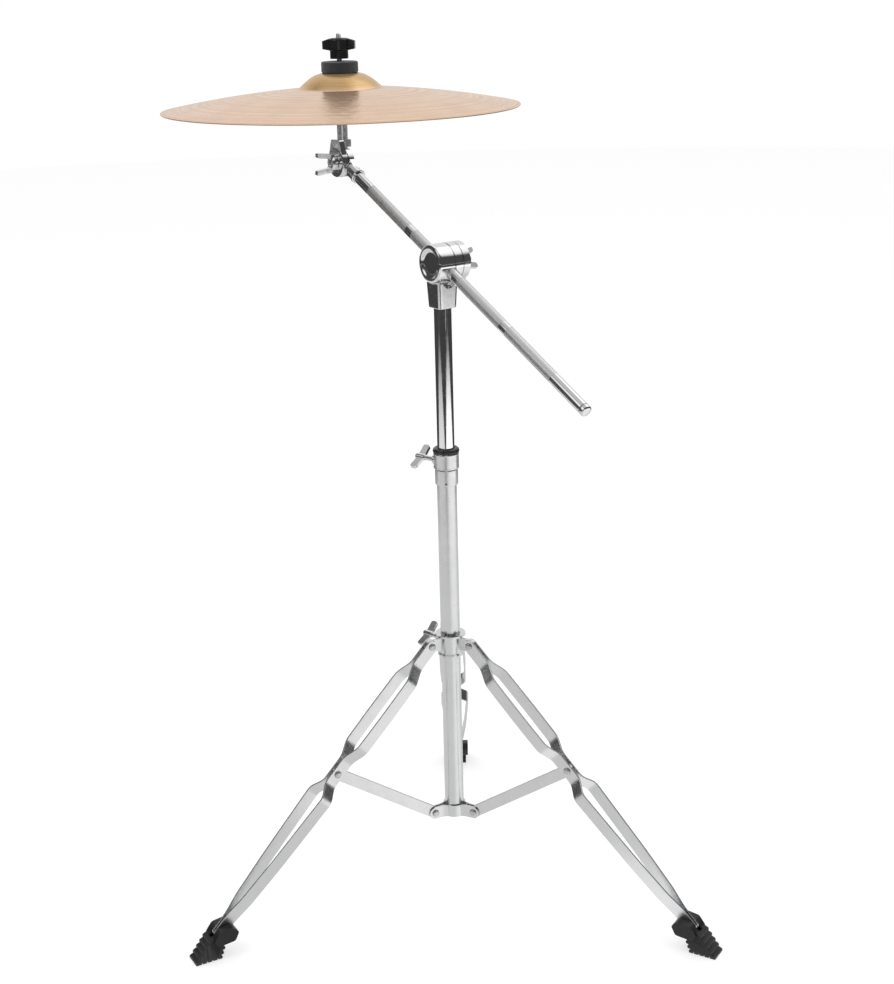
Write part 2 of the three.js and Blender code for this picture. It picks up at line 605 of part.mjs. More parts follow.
function buildSeat(frame) {
  const { washerR, washer, feltR, felt, feltHole, sleeveR, nutGap } = SEAT;
  const washerLow = ROD.shoulder + GAP;
  const feltLow = washerLow + washer + GAP;
  const cymbalLow = feltLow + felt + GAP;
  const upperLow = cymbalLow + CYMBAL.plate + GAP;
  const nutLow = upperLow + felt + nutGap;
  const threadHole = ROD.threadR + GAP;
  const washerRing = ring(threadHole, washerR, washerLow, washerLow + washer, 0.5);
  addPiece(frame, 'seat_washer', shaped([washerRing]), zincSteel);
  const sleeve = ring(threadHole, sleeveR, feltLow, upperLow + felt - 1, 0.3);
  addPiece(frame, 'seat_sleeve', shaped([sleeve]), blackNylon);
  addPiece(frame, 'lower_felt', shaped([ring(feltHole, feltR, feltLow, feltLow + felt, 1.2)]), blackFelt);
  addPiece(frame, 'upper_felt', shaped([ring(feltHole, feltR, upperLow, upperLow + felt, 1.2)]), blackFelt);

  const { r, bellR, plate: gauge, hole } = CYMBAL;
  const radii = [hole, CYMBAL.bellFlat, 22, 28, 34, 41, bellR, 56, 92, 130, 168, r];
  const under = radii.map((x) => [x, cymbalLow - cymbalDrop(x)]);
  const over = radii.map((x) => [x, cymbalLow + gauge - cymbalDrop(x)]).reverse();
  addPiece(frame, 'crash_cymbal', shaped([turned([...under, ...over, under[0]], 48)]), bronze);

  // The nut: a round hub under a dome, with a stubby wing on each side of the dome.
  const { hubR, domeR, height, halfSpan, wing } = TOP_NUT;
  const half = new THREE.Shape();
  half.moveTo(0, 8.2);
  half.lineTo(hubR - 1, 8.8);
  half.lineTo(halfSpan, 10.5);
  half.lineTo(halfSpan, 19.3);
  half.lineTo(domeR - 1, height - 0.6);
  half.lineTo(0, height - 0.2);
  half.closePath();
  const wingPlate = () => plate(half, -wing / 2, wing / 2).rotateX(Math.PI / 2);
  const body = [[0, 0], [hubR, 0], [hubR, 8.6], [domeR, 10], [domeR, 19.5], [domeR - 2, height], [0, height]];
  const joined = [turned(body, 24), wingPlate(), wingPlate().rotateZ(Math.PI)];
  const nut = shaped(joined, [bar(threadHole, -1, 40)]);
  const mesh = addPiece(frame, 'top_wing_nut', nut, blackNylon);
  mesh.position.z = nutLow;
  mesh.rotation.z = degrees(-BOOM.azimuth - 6);
}

// ---------------------------------------------------------------- the assembly
const stand = new THREE.Group();
buildLowerTube(stand);
for (const { side, azimuth } of legs) {
  buildBracketPlate(stand, `${side}_bracket_plate`, azimuth);
  buildLeg(stand, side, azimuth);
}
buildHub(stand);
const hubBoltFrame = radialFrame(stand, hubBolt.azimuth, hubBolt.z);
addPiece(hubBoltFrame, 'hub_wing_bolt', wingBolt(LOWER_TUBE.r + 0.5, HUB.r + 2.5, hubBolt.turn), castChrome);
buildCollar(stand);
buildUpperTube(stand);

const yokeFrame = radialFrame(stand, BOOM.azimuth, DRUM.z);
buildYoke(yokeFrame);
buildDrumNut(yokeFrame);
const boomFrame = new THREE.Group();
boomFrame.rotation.y = -degrees(BOOM.elevation);
yokeFrame.add(boomFrame);
buildClamp(boomFrame);
buildBoom(boomFrame);
const tilterBaseFrame = new THREE.Group();
tilterBaseFrame.position.x = BOOM.toTilter;
boomFrame.add(tilterBaseFrame);
buildTilterBase(tilterBaseFrame);
const rodFrame = new THREE.Group();
rodFrame.position.copy(tilterBaseFrame.position).applyEuler(boomFrame.rotation);
yokeFrame.add(rodFrame);
buildTilterHead(rodFrame);
buildCymbalRod(rodFrame);
buildSeat(rodFrame);

// The origin goes to the centre of the bottom of the bounding box.
stand.updateMatrixWorld(true);
const extent = new THREE.Box3().setFromObject(stand, true);
const centre = extent.getCenter(new THREE.Vector3());
stand.position.set(-centre.x, -centre.y, -extent.min.z);

const group = new THREE.Group();
group.add(stand);
export default group;
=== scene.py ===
import json
import math

import bmesh
import bpy
from mathutils import Matrix, Vector, noise


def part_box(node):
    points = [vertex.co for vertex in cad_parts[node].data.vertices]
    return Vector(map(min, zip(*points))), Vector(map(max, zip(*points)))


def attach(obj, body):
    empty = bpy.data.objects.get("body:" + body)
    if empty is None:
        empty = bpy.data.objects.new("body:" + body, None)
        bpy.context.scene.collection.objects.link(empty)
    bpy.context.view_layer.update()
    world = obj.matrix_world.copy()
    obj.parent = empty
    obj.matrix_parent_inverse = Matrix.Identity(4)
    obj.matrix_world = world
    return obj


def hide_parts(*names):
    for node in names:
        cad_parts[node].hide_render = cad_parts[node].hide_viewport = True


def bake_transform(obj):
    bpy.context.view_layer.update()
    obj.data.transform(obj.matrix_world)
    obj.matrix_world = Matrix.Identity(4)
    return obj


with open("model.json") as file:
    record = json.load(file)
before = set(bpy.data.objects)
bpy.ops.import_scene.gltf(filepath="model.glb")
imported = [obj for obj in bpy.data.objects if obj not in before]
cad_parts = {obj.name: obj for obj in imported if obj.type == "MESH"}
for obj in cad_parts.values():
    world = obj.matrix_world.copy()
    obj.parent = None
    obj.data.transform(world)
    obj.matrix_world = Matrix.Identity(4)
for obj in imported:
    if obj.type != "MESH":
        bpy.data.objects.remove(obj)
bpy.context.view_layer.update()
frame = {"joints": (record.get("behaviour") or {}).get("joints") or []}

# The finished surfaces of a crash cymbal on a double-braced boom stand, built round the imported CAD
# frame. Shapes are made in millimetres in the frame of their own part, and put in place in metres.

MM = 0.001
GAP = 0.3  # running clearance between neighbouring pieces
TURN = 2 * math.pi

# ---------------------------------------------------------------- driving dimensions, as in the CAD
LOWER_TUBE = {"r": 11.1, "bore": 9.9}
UPPER_TUBE = {"r": 9.55, "bore": 8.3}
BOOM_TUBE = {"r": 6.35, "bore": 5.1}
BRACKET = {"pivot_r": 27.3, "height": 14.5, "plate": 1.6, "back_r": 12.4}
HUB = {"pivot_r": 26.2, "height": 20, "r": 13.2, "tab": 3.4, "flange_r": 17.3, "flange": 2.2}
LEG = {"angle": 44.54, "length": 391.3, "width": 14.6, "plate": 2, "brace": 179}
STRUT = {"width": 13.6, "plate": 3}
STRAP_OFFSET = HUB["tab"] / 2 + GAP + LEG["plate"] / 2
FOOT = {"outer_r": 338, "length": 31, "width": 22, "ridges": 5, "ridge": 5.4, "top_width": 28}
RIVET = {"r": 2.2, "head_r": 4.2, "head": 1.9}
BOLT_HOLE = {"r": 3, "clear": 3.3}
HUB_LIP = {"r": 15, "bottom": -15, "top": -12.2}
COLLAR = {"step": 19, "height": 37.3, "r": 14.3, "neck_r": 12.9, "bolt": 26, "boss": 17}
BUSHING = {"r": 14.8, "height": 4.6}
BOLT_TURN = {"collar_bolt": 58, "hub_bolt": 56}  # degrees that each handle is turned about its bolt
DRUM = {"r": 21, "cap": 16, "split": -4, "disc": -15, "back": -25}
CLAMP_BOLT_R = 3.2
YOKE = {"bottom": -48.6, "top": -20, "top_width": 26, "bottom_width": 23.4}
BOOM = {"to_tilter": 210, "to_end": 262}
DRUM_NUT = {"hub_r": 7.4, "hub": 8, "reach": 18, "turn": 62}
TILTER_NUT = {"hub_r": 8.2, "hub": 6.5, "reach": 25, "turn": 84}
TILTER = {"disc_r": 16.5, "back": -5, "split": 3, "front": 11, "sleeve_from": 18, "sleeve_to": 34}
HEAD = {"sleeve_r": 6.2, "block_bottom": 17.2, "block_top": 25.5, "sleeve_top": 47}
ROD = {"r": 4.15, "thread_r": 3, "bottom": 27, "shoulder": 82.8, "top": 142}
SEAT = {"washer_r": 19.8, "washer": 2.2, "felt_r": 21, "felt": 12.2, "felt_hole": 5.3, "sleeve_r": 4.9}
CYMBAL = {"r": 203.2, "bell_r": 48, "bell_flat": 17.5, "bell": 17, "bow": 21, "plate": 1, "hole": 6.2}
TOP_NUT = {"hub_r": 10.3, "dome_r": 11.4, "height": 22.4, "half_span": 18.3, "wing": 7.5}


# ---------------------------------------------------------------- places, from the frame's joints
def joint(name):
    return next(j for j in frame["joints"] if j["name"] == name)


def place(origin, x_axis, y_axis):
    """The matrix of a part's own frame: its origin in the row frame and its X and Y directions."""
    x = Vector(x_axis).normalized()
    y = Vector(y_axis).normalized()
    columns = Matrix((x, y, x.cross(y))).transposed()
    return Matrix.Translation(Vector(origin)) @ columns.to_4x4()


def about_z(azimuth):
    """A level direction at an azimuth in degrees, and the direction a quarter turn on from it."""
    turn = math.radians(azimuth)
    out = Vector((math.cos(turn), math.sin(turn), 0))
    return out, Vector((-out.y, out.x, 0))


def azimuth_of(axis):
    return math.degrees(math.atan2(axis[1], axis[0]))


def spot(origin, azimuth):
    """A part's frame whose X axis points outwards at an azimuth, with Z up."""
    return place(origin, *about_z(azimuth))


SIDES = {"left": 210, "right": 330, "rear": 90}
UP = Vector((0, 0, 1))
column_axis = Vector(joint("column_swivel")["pos_m"])
column_foot = Vector((column_axis.x, column_axis.y, 0))
lower_bottom, lower_top = (corner.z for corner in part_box("lower_tube"))
upper_bottom, upper_top = (corner.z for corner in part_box("upper_tube"))
collar_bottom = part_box("collar")[0].z
drum_centre = Vector(joint("boom_tilt")["pos_m"])
drum_axis = Vector(joint("boom_tilt")["axis"])
boom_axis = Vector(joint("boom_slide")["axis"])
boom_level = Vector((boom_axis.x, boom_axis.y, 0)).normalized()
tilter_centre = Vector(joint("tilter_hinge")["pos_m"])
hub_height = Vector(joint("left_leg_fold")["pos_m"]).z
bracket_height = Vector(joint("left_strut_fold")["pos_m"]).z

# ---------------------------------------------------------------- mesh tools, all in millimetres
scene = bpy.context.scene


def mesh_of(points, faces):
    mesh = bpy.data.meshes.new("shape")
    mesh.from_pydata([tuple(p) for p in points], [], faces)
    bm = bmesh.new()
    bm.from_mesh(mesh)
    bmesh.ops.remove_doubles(bm, verts=bm.verts, dist=1e-4)
    bmesh.ops.recalc_face_normals(bm, faces=bm.faces)
    bm.to_mesh(mesh)
    bm.free()
    return mesh


def moved(mesh, matrix):
    mesh.transform(matrix)
    if matrix.determinant() < 0:
        mesh.flip_normals()
    return mesh


def shifted(mesh, x=0, y=0, z=0):
    return moved(mesh, Matrix.Translation((x, y, z)))


def turned(mesh, angle, axis="Z"):
    return moved(mesh, Matrix.Rotation(math.radians(angle), 4, axis))


def along_x(mesh):
    return turned(mesh, 90, "Y")


def along_y(mesh):
    return turned(mesh, -90, "X")


def lathe(profile, sides=96):
    """A profile of (radius, z) turned about Z. It closes on itself, or ends on the axis."""
    closed = profile[0] == profile[-1]
    rows = profile[:-1] if closed else profile
    points = [
        (r * math.cos(TURN * k / sides), r * math.sin(TURN * k / sides), z)
        for r, z in rows
        for k in range(sides)
    ]
    count = len(rows)
    faces = []
    for i in range(count if closed else count - 1):
        low, high = i * sides, (i + 1) % count * sides
        for k in range(sides):
            nxt = (k + 1) % sides
            faces.append((low + k, low + nxt, high + nxt, high + k))
    mesh = bpy.data.meshes.new("lathe")
    mesh.from_pydata(points, [], faces)
    bm = bmesh.new()
    bm.from_mesh(mesh)
    bmesh.ops.remove_doubles(bm, verts=bm.verts, dist=1e-5)
    bmesh.ops.dissolve_degenerate(bm, edges=bm.edges, dist=1e-5)
    bmesh.ops.recalc_face_normals(bm, faces=bm.faces)
    bm.to_mesh(mesh)
    bm.free()
    return mesh


def bar(r, low, high, sides=64):
    return lathe([(0, low), (r, low), (r, high), (0, high)], sides)


def eased(corners, radius=1.0, steps=4):
    """An open run of corners with each inner corner rounded off by an arc-like curve."""
    out = [Vector(corners[0])]
    for before, corner, after in zip(corners, corners[1:-1], corners[2:]):
        a, b, c = Vector(before), Vector(corner), Vector(after)
        reach = min(radius, (a - b).length * 0.49, (c - b).length * 0.49)
        start = b + (a - b).normalized() * reach
        end = b + (c - b).normalized() * reach
        for k in range(steps + 1):
            t = k / steps
            out.append(start * (1 - t) ** 2 + b * 2 * t * (1 - t) + end * t**2)
    out.append(Vector(corners[-1]))
    return out


def eased_loop(corners, radius=1.0, steps=4):
    """A closed outline with every corner rounded."""
    middle = [(a + b) / 2 for a, b in zip(corners[0], corners[-1])]
    return eased([middle, *corners, middle], radius, steps)[:-1]


def prism(outline, low, high):
    """An outline in XY raised from z = low to z = high."""
    count = len(outline)
    points = [(p[0], p[1], z) for z in (low, high) for p in outline]
    faces = [tuple(range(count))[::-1], tuple(range(count, 2 * count))]
    for k in range(count):
        nxt = (k + 1) % count
        faces.append((k, nxt, count + nxt, count + k))
    return mesh_of(points, faces)


def block(x, y, z):
    return prism([(x[0], y[0]), (x[1], y[0]), (x[1], y[1]), (x[0], y[1])], z[0], z[1])


def loft(rings):
    """Rings of the same number of points joined in order, with a face on each end."""
    count = len(rings[0])
    points = [p for ring in rings for p in ring]
    faces = [tuple(range(count))[::-1], tuple(range(len(points) - count, len(points)))]
    for i in range(len(rings) - 1):
        for k in range(count):
            nxt = (k + 1) % count
            low, high = i * count, (i + 1) * count
            faces.append((low + k, low + nxt, high + nxt, high + k))
    return mesh_of(points, faces)


def with_modifiers(mesh, add):
    """The mesh with the modifiers that add() puts on an object, applied."""
    holder = bpy.data.objects.new("holder", mesh)
    scene.collection.objects.link(holder)
    helpers = add(holder) or []
    graph = bpy.context.evaluated_depsgraph_get()
    done = bpy.data.meshes.new_from_object(holder.evaluated_get(graph), depsgraph=graph)
    for item in [holder, *helpers]:
        bpy.data.objects.remove(item)
    return done


def boolean(mesh, tools, operation):
    """The mesh with other meshes joined to it, or cut away from it."""

    def add(holder):
        helpers = []
        for tool in tools:
            helper = bpy.data.objects.new("tool", tool)
            scene.collection.objects.link(helper)
            helpers.append(helper)
            modifier = holder.modifiers.new("boolean", "BOOLEAN")
            modifier.operation = operation
            modifier.solver = "MANIFOLD"
            modifier.object = helper
        return helpers

    return with_modifiers(mesh, add)


def union(first, *others):
    return boolean(first, others, "UNION")


def cut(mesh, *tools):
    return boolean(mesh, tools, "DIFFERENCE")


def softened(mesh, width, segments=3, angle=32):
    """Every edge sharper than the angle is rounded to the width."""

    def add(holder):
        modifier = holder.modifiers.new("bevel", "BEVEL")
        modifier.width = width
        modifier.segments = segments
        modifier.limit_method = "ANGLE"
        modifier.angle_limit = math.radians(angle)
        modifier.use_clamp_overlap = True
        modifier.miter_outer = "MITER_ARC"

    return with_modifiers(mesh, add)


# ---------------------------------------------------------------- materials
def material(name, base, roughness, metallic=0.0, coat=0.0, sheen=0.0):
    """A new principled material. Returns its nodes' helper."""
    made = bpy.data.materials.new(name)
    made.use_nodes = True
    shader = made.node_tree.nodes["Principled BSDF"]
    shader.inputs["Base Color"].default_value = (*base, 1)
    shader.inputs["Roughness"].default_value = roughness
    shader.inputs["Metallic"].default_value = metallic
    shader.inputs["Coat Weight"].default_value = coat
    shader.inputs["Sheen Weight"].default_value = sheen
    return Nodes(made, shader)


class Nodes:
    """Adds procedural detail to one material."""

    def __init__(self, made, shader):
        self.material = made
        self.tree = made.node_tree
        self.shader = shader
        self.height = None

    def add(self, kind, **inputs):
        node = self.tree.nodes.new(kind)
        for name, value in inputs.items():
            key = name.replace("_", " ")
            if isinstance(value, bpy.types.NodeSocket):
                self.tree.links.new(value, node.inputs[key])
            else:
                node.inputs[key].default_value = value
        return node

    def link(self, socket, to):
        self.tree.links.new(socket, self.shader.inputs[to])

    def coordinates(self, scale=(1, 1, 1)):
        """Object coordinates in millimetres, stretched by a scale."""
        source = self.tree.nodes.new("ShaderNodeTexCoord").outputs["Object"]
        mapping = self.add("ShaderNodeMapping", Vector=source)
        mapping.inputs["Scale"].default_value = [s / MM for s in scale]
        return mapping.outputs["Vector"]

    def noise(self, size, stretch=(1, 1, 1), detail=3.0, roughness=0.55):
        """Noise with features of about size millimetres."""
        scale = [s / size for s in stretch]
        node = self.add("ShaderNodeTexNoise", Vector=self.coordinates(scale))
        node.inputs["Scale"].default_value = 1
        node.inputs["Detail"].default_value = detail
        node.inputs["Roughness"].default_value = roughness
        return node.outputs["Fac"]

    def spread(self, fac, low, high, to_low, to_high):
        """Maps a factor from one range to another."""
        node = self.add("ShaderNodeMapRange", Value=fac)
        node.inputs["From Min"].default_value = low
        node.inputs["From Max"].default_value = high
        node.inputs["To Min"].default_value = to_low
        node.inputs["To Max"].default_value = to_high
        return node.outputs["Result"]

    def mix(self, fac, a, b):
        node = self.tree.nodes.new("ShaderNodeMix")
        node.data_type = "RGBA"
        self.tree.links.new(fac, node.inputs[0])
        for key, value in ((6, a), (7, b)):
            if isinstance(value, bpy.types.NodeSocket):
                self.tree.links.new(value, node.inputs[key])
            else:
                node.inputs[key].default_value = (*value, 1)
        return node.outputs[2]

    def bump(self, height, distance, strength=1.0):
        """Adds a relief of distance millimetres, on top of any relief added before."""
        node = self.add("ShaderNodeBump", Height=height, Strength=strength, Distance=distance * MM)
        if self.height is not None:
            self.tree.links.new(self.height, node.inputs["Normal"])
        self.height = node.outputs["Normal"]
        self.link(self.height, "Normal")

    def edge_wear_and_painted_light(self, low=0.51, high=0.58):
        """A factor that rises where the surface is sharply convex: edge wear on rubber and nylon, and on
        the knurl painted shade in its recesses and painted highlight on its points.
        """
        point = self.tree.nodes.new("ShaderNodeNewGeometry").outputs["Pointiness"]
        return self.spread(point, low, high, 0, 1)


def satin_chrome():
    m = material("satin_chrome", (0.80, 0.80, 0.81), 0.24, metallic=1)
    cloud = m.noise(22)
    grain = m.noise(0.5, (1, 1, 0.06), detail=4)
    m.link(m.mix(cloud, (0.74, 0.745, 0.755), (0.84, 0.84, 0.845)), "Base Color")
    smear = m.noise(9, detail=5)
    m.link(m.spread(smear, 0.3, 0.7, 0.2, 0.28), "Roughness")
    m.bump(grain, 0.002)
    m.bump(m.noise(6), 0.012)
    return m.material


def mirror_chrome():
    m = material("mirror_chrome", (0.86, 0.865, 0.875), 0.07, metallic=1)
    smear = m.noise(14, detail=6)
    m.link(m.spread(smear, 0.35, 0.75, 0.045, 0.12), "Roughness")
    m.link(m.mix(m.noise(40), (0.82, 0.825, 0.835), (0.89, 0.89, 0.895)), "Base Color")
    m.bump(m.noise(7), 0.012)
    return m.material


def knurled_chrome():
    m = material("knurled_chrome", (0.84, 0.845, 0.85), 0.3, metallic=0.82)
    # painted shade and painted highlight: the knurl's base colour is dark in its recesses and light on its
    # raised points
    m.link(m.mix(m.edge_wear_and_painted_light(0.49, 0.55), (0.5, 0.5, 0.51), (0.93, 0.93, 0.93)), "Base Color")
    m.link(m.spread(m.noise(6), 0.3, 0.7, 0.24, 0.36), "Roughness")
    return m.material


def cast_chrome():
    m = material("cast_chrome", (0.83, 0.83, 0.845), 0.15, metallic=1)
    m.link(m.mix(m.noise(12), (0.78, 0.78, 0.79), (0.87, 0.87, 0.88)), "Base Color")
    m.link(m.spread(m.noise(4, detail=5), 0.3, 0.7, 0.1, 0.22), "Roughness")
    m.bump(m.noise(7), 0.025)
    return m.material


def zinc_steel():
    m = material("zinc_steel", (0.66, 0.66, 0.67), 0.34, metallic=1)
    m.link(m.mix(m.noise(3), (0.56, 0.565, 0.58), (0.74, 0.735, 0.72)), "Base Color")
    m.link(m.spread(m.noise(1.5), 0.3, 0.7, 0.26, 0.44), "Roughness")
    m.bump(m.noise(0.6), 0.01)
    return m.material


def black_rubber():
    m = material("black_rubber", (0.008, 0.008, 0.009), 0.45)
    m.shader.inputs["Specular IOR Level"].default_value = 0.28
    dusty = m.mix(m.noise(6, detail=6), (0.004, 0.004, 0.005), (0.012, 0.012, 0.013))
    m.link(m.mix(m.edge_wear_and_painted_light(), dusty, (0.03, 0.03, 0.03)), "Base Color")
    m.link(m.spread(m.noise(2.5), 0.3, 0.7, 0.36, 0.56), "Roughness")
    m.bump(m.noise(0.5), 0.03)
    return m.material


def black_nylon():
    m = material("black_nylon", (0.01, 0.01, 0.011), 0.26)
    m.link(m.mix(m.edge_wear_and_painted_light(), (0.007, 0.007, 0.008), (0.03, 0.03, 0.031)), "Base Color")
    m.link(m.spread(m.noise(2), 0.3, 0.7, 0.2, 0.32), "Roughness")
    m.bump(m.noise(0.7), 0.012)
    return m.material


def black_felt():
    m = material("black_felt", (0.018, 0.018, 0.02), 0.96, sheen=0.5)
    m.shader.inputs["Sheen Roughness"].default_value = 0.6
    m.shader.inputs["Sheen Tint"].default_value = (0.5, 0.5, 0.55, 1)
    m.shader.inputs["Specular IOR Level"].default_value = 0.15
    fibres = m.noise(0.35, (1, 1, 2.2), detail=6, roughness=0.75)
    clumps = m.noise(2.4, detail=4)
    shade = m.mix(clumps, (0.01, 0.01, 0.012), (0.026, 0.026, 0.029))
    m.link(m.mix(m.spread(fibres, 0.52, 0.72, 0, 1), shade, (0.07, 0.07, 0.078)), "Base Color")
    m.bump(fibres, 0.35)
    m.bump(clumps, 0.5)
    return m.material


def cymbal_bronze():
    """Lathed B20 bronze: rings of tool marks round the axis, hammering, and a darker bell."""
    m = material("cymbal_bronze", (0.80, 0.55, 0.36), 0.24, metallic=0.72)
    split = m.add("ShaderNodeSeparateXYZ", Vector=m.coordinates())
    flat = m.add("ShaderNodeCombineXYZ", X=split.outputs["X"], Y=split.outputs["Y"])
    length = m.tree.nodes.new("ShaderNodeVectorMath")
    length.operation = "LENGTH"
    m.tree.links.new(flat.outputs["Vector"], length.inputs[0])
    radius = length.outputs["Value"]

    def rings(pitch, seed):
        """Noise that changes only with the radius: the lathe's tool marks."""
        step = m.tree.nodes.new("ShaderNodeMath")
        step.operation = "DIVIDE"
        m.tree.links.new(radius, step.inputs[0])
        step.inputs[1].default_value = pitch
        node = m.tree.nodes.new("ShaderNodeTexNoise")
        node.noise_dimensions = "1D"
        m.tree.links.new(step.outputs[0], node.inputs["W"])
        node.inputs["Scale"].default_value = 1
        node.inputs["Detail"].default_value = 2 + seed
        return node.outputs["Fac"]

    fine, coarse = rings(0.7, 1), rings(6, 2)
    hammer = m.tree.nodes.new("ShaderNodeTexVoronoi")
    m.tree.links.new(m.coordinates((1 / 11, 1 / 11, 1 / 40)), hammer.inputs["Vector"])
    hammer.inputs["Scale"].default_value = 1
    blotch = m.noise(38, detail=4)
    shade = m.mix(m.spread(coarse, 0.35, 0.65, 0, 1), (0.74, 0.48, 0.31), (0.86, 0.62, 0.43))
    shade = m.mix(m.spread(blotch, 0.4, 0.75, 0, 0.6), shade, (0.68, 0.44, 0.30))
    bell_edge = CYMBAL["bell_r"]
    inside = m.spread(radius, bell_edge - 5, bell_edge + 3, 1, 0)
    m.link(m.mix(inside, shade, (0.62, 0.40, 0.19)), "Base Color")
    m.link(m.spread(fine, 0.3, 0.7, 0.19, 0.33), "Roughness")
    m.bump(fine, 0.05)
    m.bump(coarse, 0.05)
    m.bump(hammer.outputs["Distance"], 0.35, strength=0.6)
    return m.material


FINISH = {
    make.__name__: make()
    for make in (
        satin_chrome,
        mirror_chrome,
        knurled_chrome,
        cast_chrome,
        zinc_steel,
        black_rubber,
        black_nylon,
        black_felt,
        cymbal_bronze,
    )
}


def put(node, mesh, matrix, body, finish, smooth=38):
    """Stands a mesh in millimetres for a CAD node, on the node's body."""
    mesh.transform(Matrix.Scale(MM, 4))
    mesh.shade_smooth()
    mesh.set_sharp_from_angle(angle=math.radians(smooth))
    mesh.materials.clear()
    mesh.materials.append(FINISH[finish])
    piece = bpy.data.objects.new(f"{node}_finished", mesh)
    scene.collection.objects.link(piece)
    piece.matrix_world = matrix
    weights = piece.modifiers.new("even shading", "WEIGHTED_NORMAL")
    weights.keep_sharp = True
    if body:
        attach(piece, body)
    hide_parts(node)
    return piece


# ---------------------------------------------------------------- tripod
def tube(r, bore, low, high, sides=128):
    lip = 0.5
    profile = [
        (bore, low + lip), (bore + lip * 0.6, low), (r - lip, low), (r - lip * 0.3, low + lip * 0.3),
        (r, low + lip), (r, high - lip), (r - lip * 0.3, high - lip * 0.3), (r - lip, high),
        (bore + lip * 0.6, high), (bore, high - lip), (bore, low + lip),
    ]
    return lathe(profile, sides)


def make_lower_tube():
    length = (lower_top - lower_bottom) / MM
    mesh = tube(LOWER_TUBE["r"], LOWER_TUBE["bore"], 0, length)
    bolt = joint("collar_bolt_spin")
    bolt_height = (bolt["pos_m"][2] - lower_bottom) / MM
    azimuth = azimuth_of(bolt["axis"])
    hole = shifted(turned(along_x(bar(BOLT_HOLE["clear"], 0, 20)), azimuth), z=bolt_height)
    origin = column_foot + UP * lower_bottom
    put("lower_tube", cut(mesh, hole), Matrix.Translation(origin), "base", "satin_chrome")


def strip_outline(line, thickness):
    """The outline of a strip of even thickness along a bent centre line."""
    points = [Vector(p) for p in line]
    normals = []
    for a, b in zip(points, points[1:]):
        d = (b - a).normalized()
        normals.append(Vector((-d.y, d.x)))
    sides = {1: [], -1: []}
    for i, p in enumerate(points):
        a = normals[max(i - 1, 0)]
        b = normals[min(i, len(normals) - 1)]
        mitre = (a + b).normalized()
        for sign in sides:
            sides[sign].append(p + mitre * (sign * thickness / 2 / mitre.dot(a)))
    return sides[1] + sides[-1][::-1]


def make_bracket_plate(side, azimuth):
    """A stamped plate: out along one ear, round the back of the tube and out along the next ear."""
    flank = STRUT["plate"] / 2 + GAP + BRACKET["plate"] / 2
    back_r, pivot_r, half = BRACKET["back_r"], BRACKET["pivot_r"], BRACKET["height"] / 2
    ear_end = pivot_r + half
    bend = math.asin((flank + 2.4) / back_r)
    next_ear = math.radians(120)
    steps = 24
    wrap = [
        (back_r * math.cos(t), back_r * math.sin(t))
        for t in (bend + (next_ear - 2 * bend) * i / steps for i in range(steps + 1))
    ]
    spin = Matrix.Rotation(next_ear, 2)
    far = [spin @ Vector((back_r + 5.5, -flank)), spin @ Vector((ear_end, -flank))]
    start = eased([(ear_end, flank), (back_r + 5.5, flank), wrap[0], wrap[1]], 3)[:-1]
    end = eased([wrap[-2], wrap[-1], *far], 3)[1:]
    mesh = prism(strip_outline([*start, *wrap[1:-1], *end], BRACKET["plate"]), -half, half)

    def ear_trim(turn):
        """What is cut away to round an ear's end about its rivet."""
        outside = block((pivot_r, ear_end + 1), (-9, 9), (-half - 1, half + 1))
        keep = shifted(along_y(bar(half, -10, 10, 96)), x=pivot_r)
        return turned(cut(outside, keep), turn)

    def pin_hole(turn):
        return turned(shifted(along_y(bar(RIVET["r"] + GAP, -8, 8)), x=pivot_r), turn)

    mesh = cut(mesh, ear_trim(0), ear_trim(120), pin_hole(0), pin_hole(120))
    matrix = spot(column_foot + UP * bracket_height, azimuth)
    put(f"{side}_bracket_plate", softened(mesh, 0.4), matrix, "base", "satin_chrome")


def rivet_head(low):
    """The (radius, height) run of a domed head that starts at a height and ends on the axis."""
    head_r, head = RIVET["head_r"], RIVET["head"]
    steps = 8
    dome = [
        (head_r * math.cos(t) ** 0.8, low + 0.5 + (head - 0.5) * math.sin(t))
        for t in (math.pi / 2 * k / steps for k in range(steps))
    ]
    return [(head_r - 0.25, low), (head_r, low + 0.25), *dome, (0, low + head)]


def rivet(reach):
    """A rivet across a leg's mid-plane, with a domed head outside each face."""
    half = [(RIVET["r"], reach + GAP), *rivet_head(reach + GAP)]
    return along_y(lathe([(r, -z) for r, z in half][::-1] + half, 48))


def half_rivet(sign):
    """The half in one strap at the brace joint, where the linkage is opened."""
    inner = STRAP_OFFSET - LEG["plate"] / 2 + 0.1
    outer = STRAP_OFFSET + LEG["plate"] / 2 + GAP
    mesh = along_y(lathe([(0, inner), (RIVET["r"], inner), (RIVET["r"], outer), *rivet_head(outer)], 48))
    return mesh if sign > 0 else turned(mesh, 180, "X")


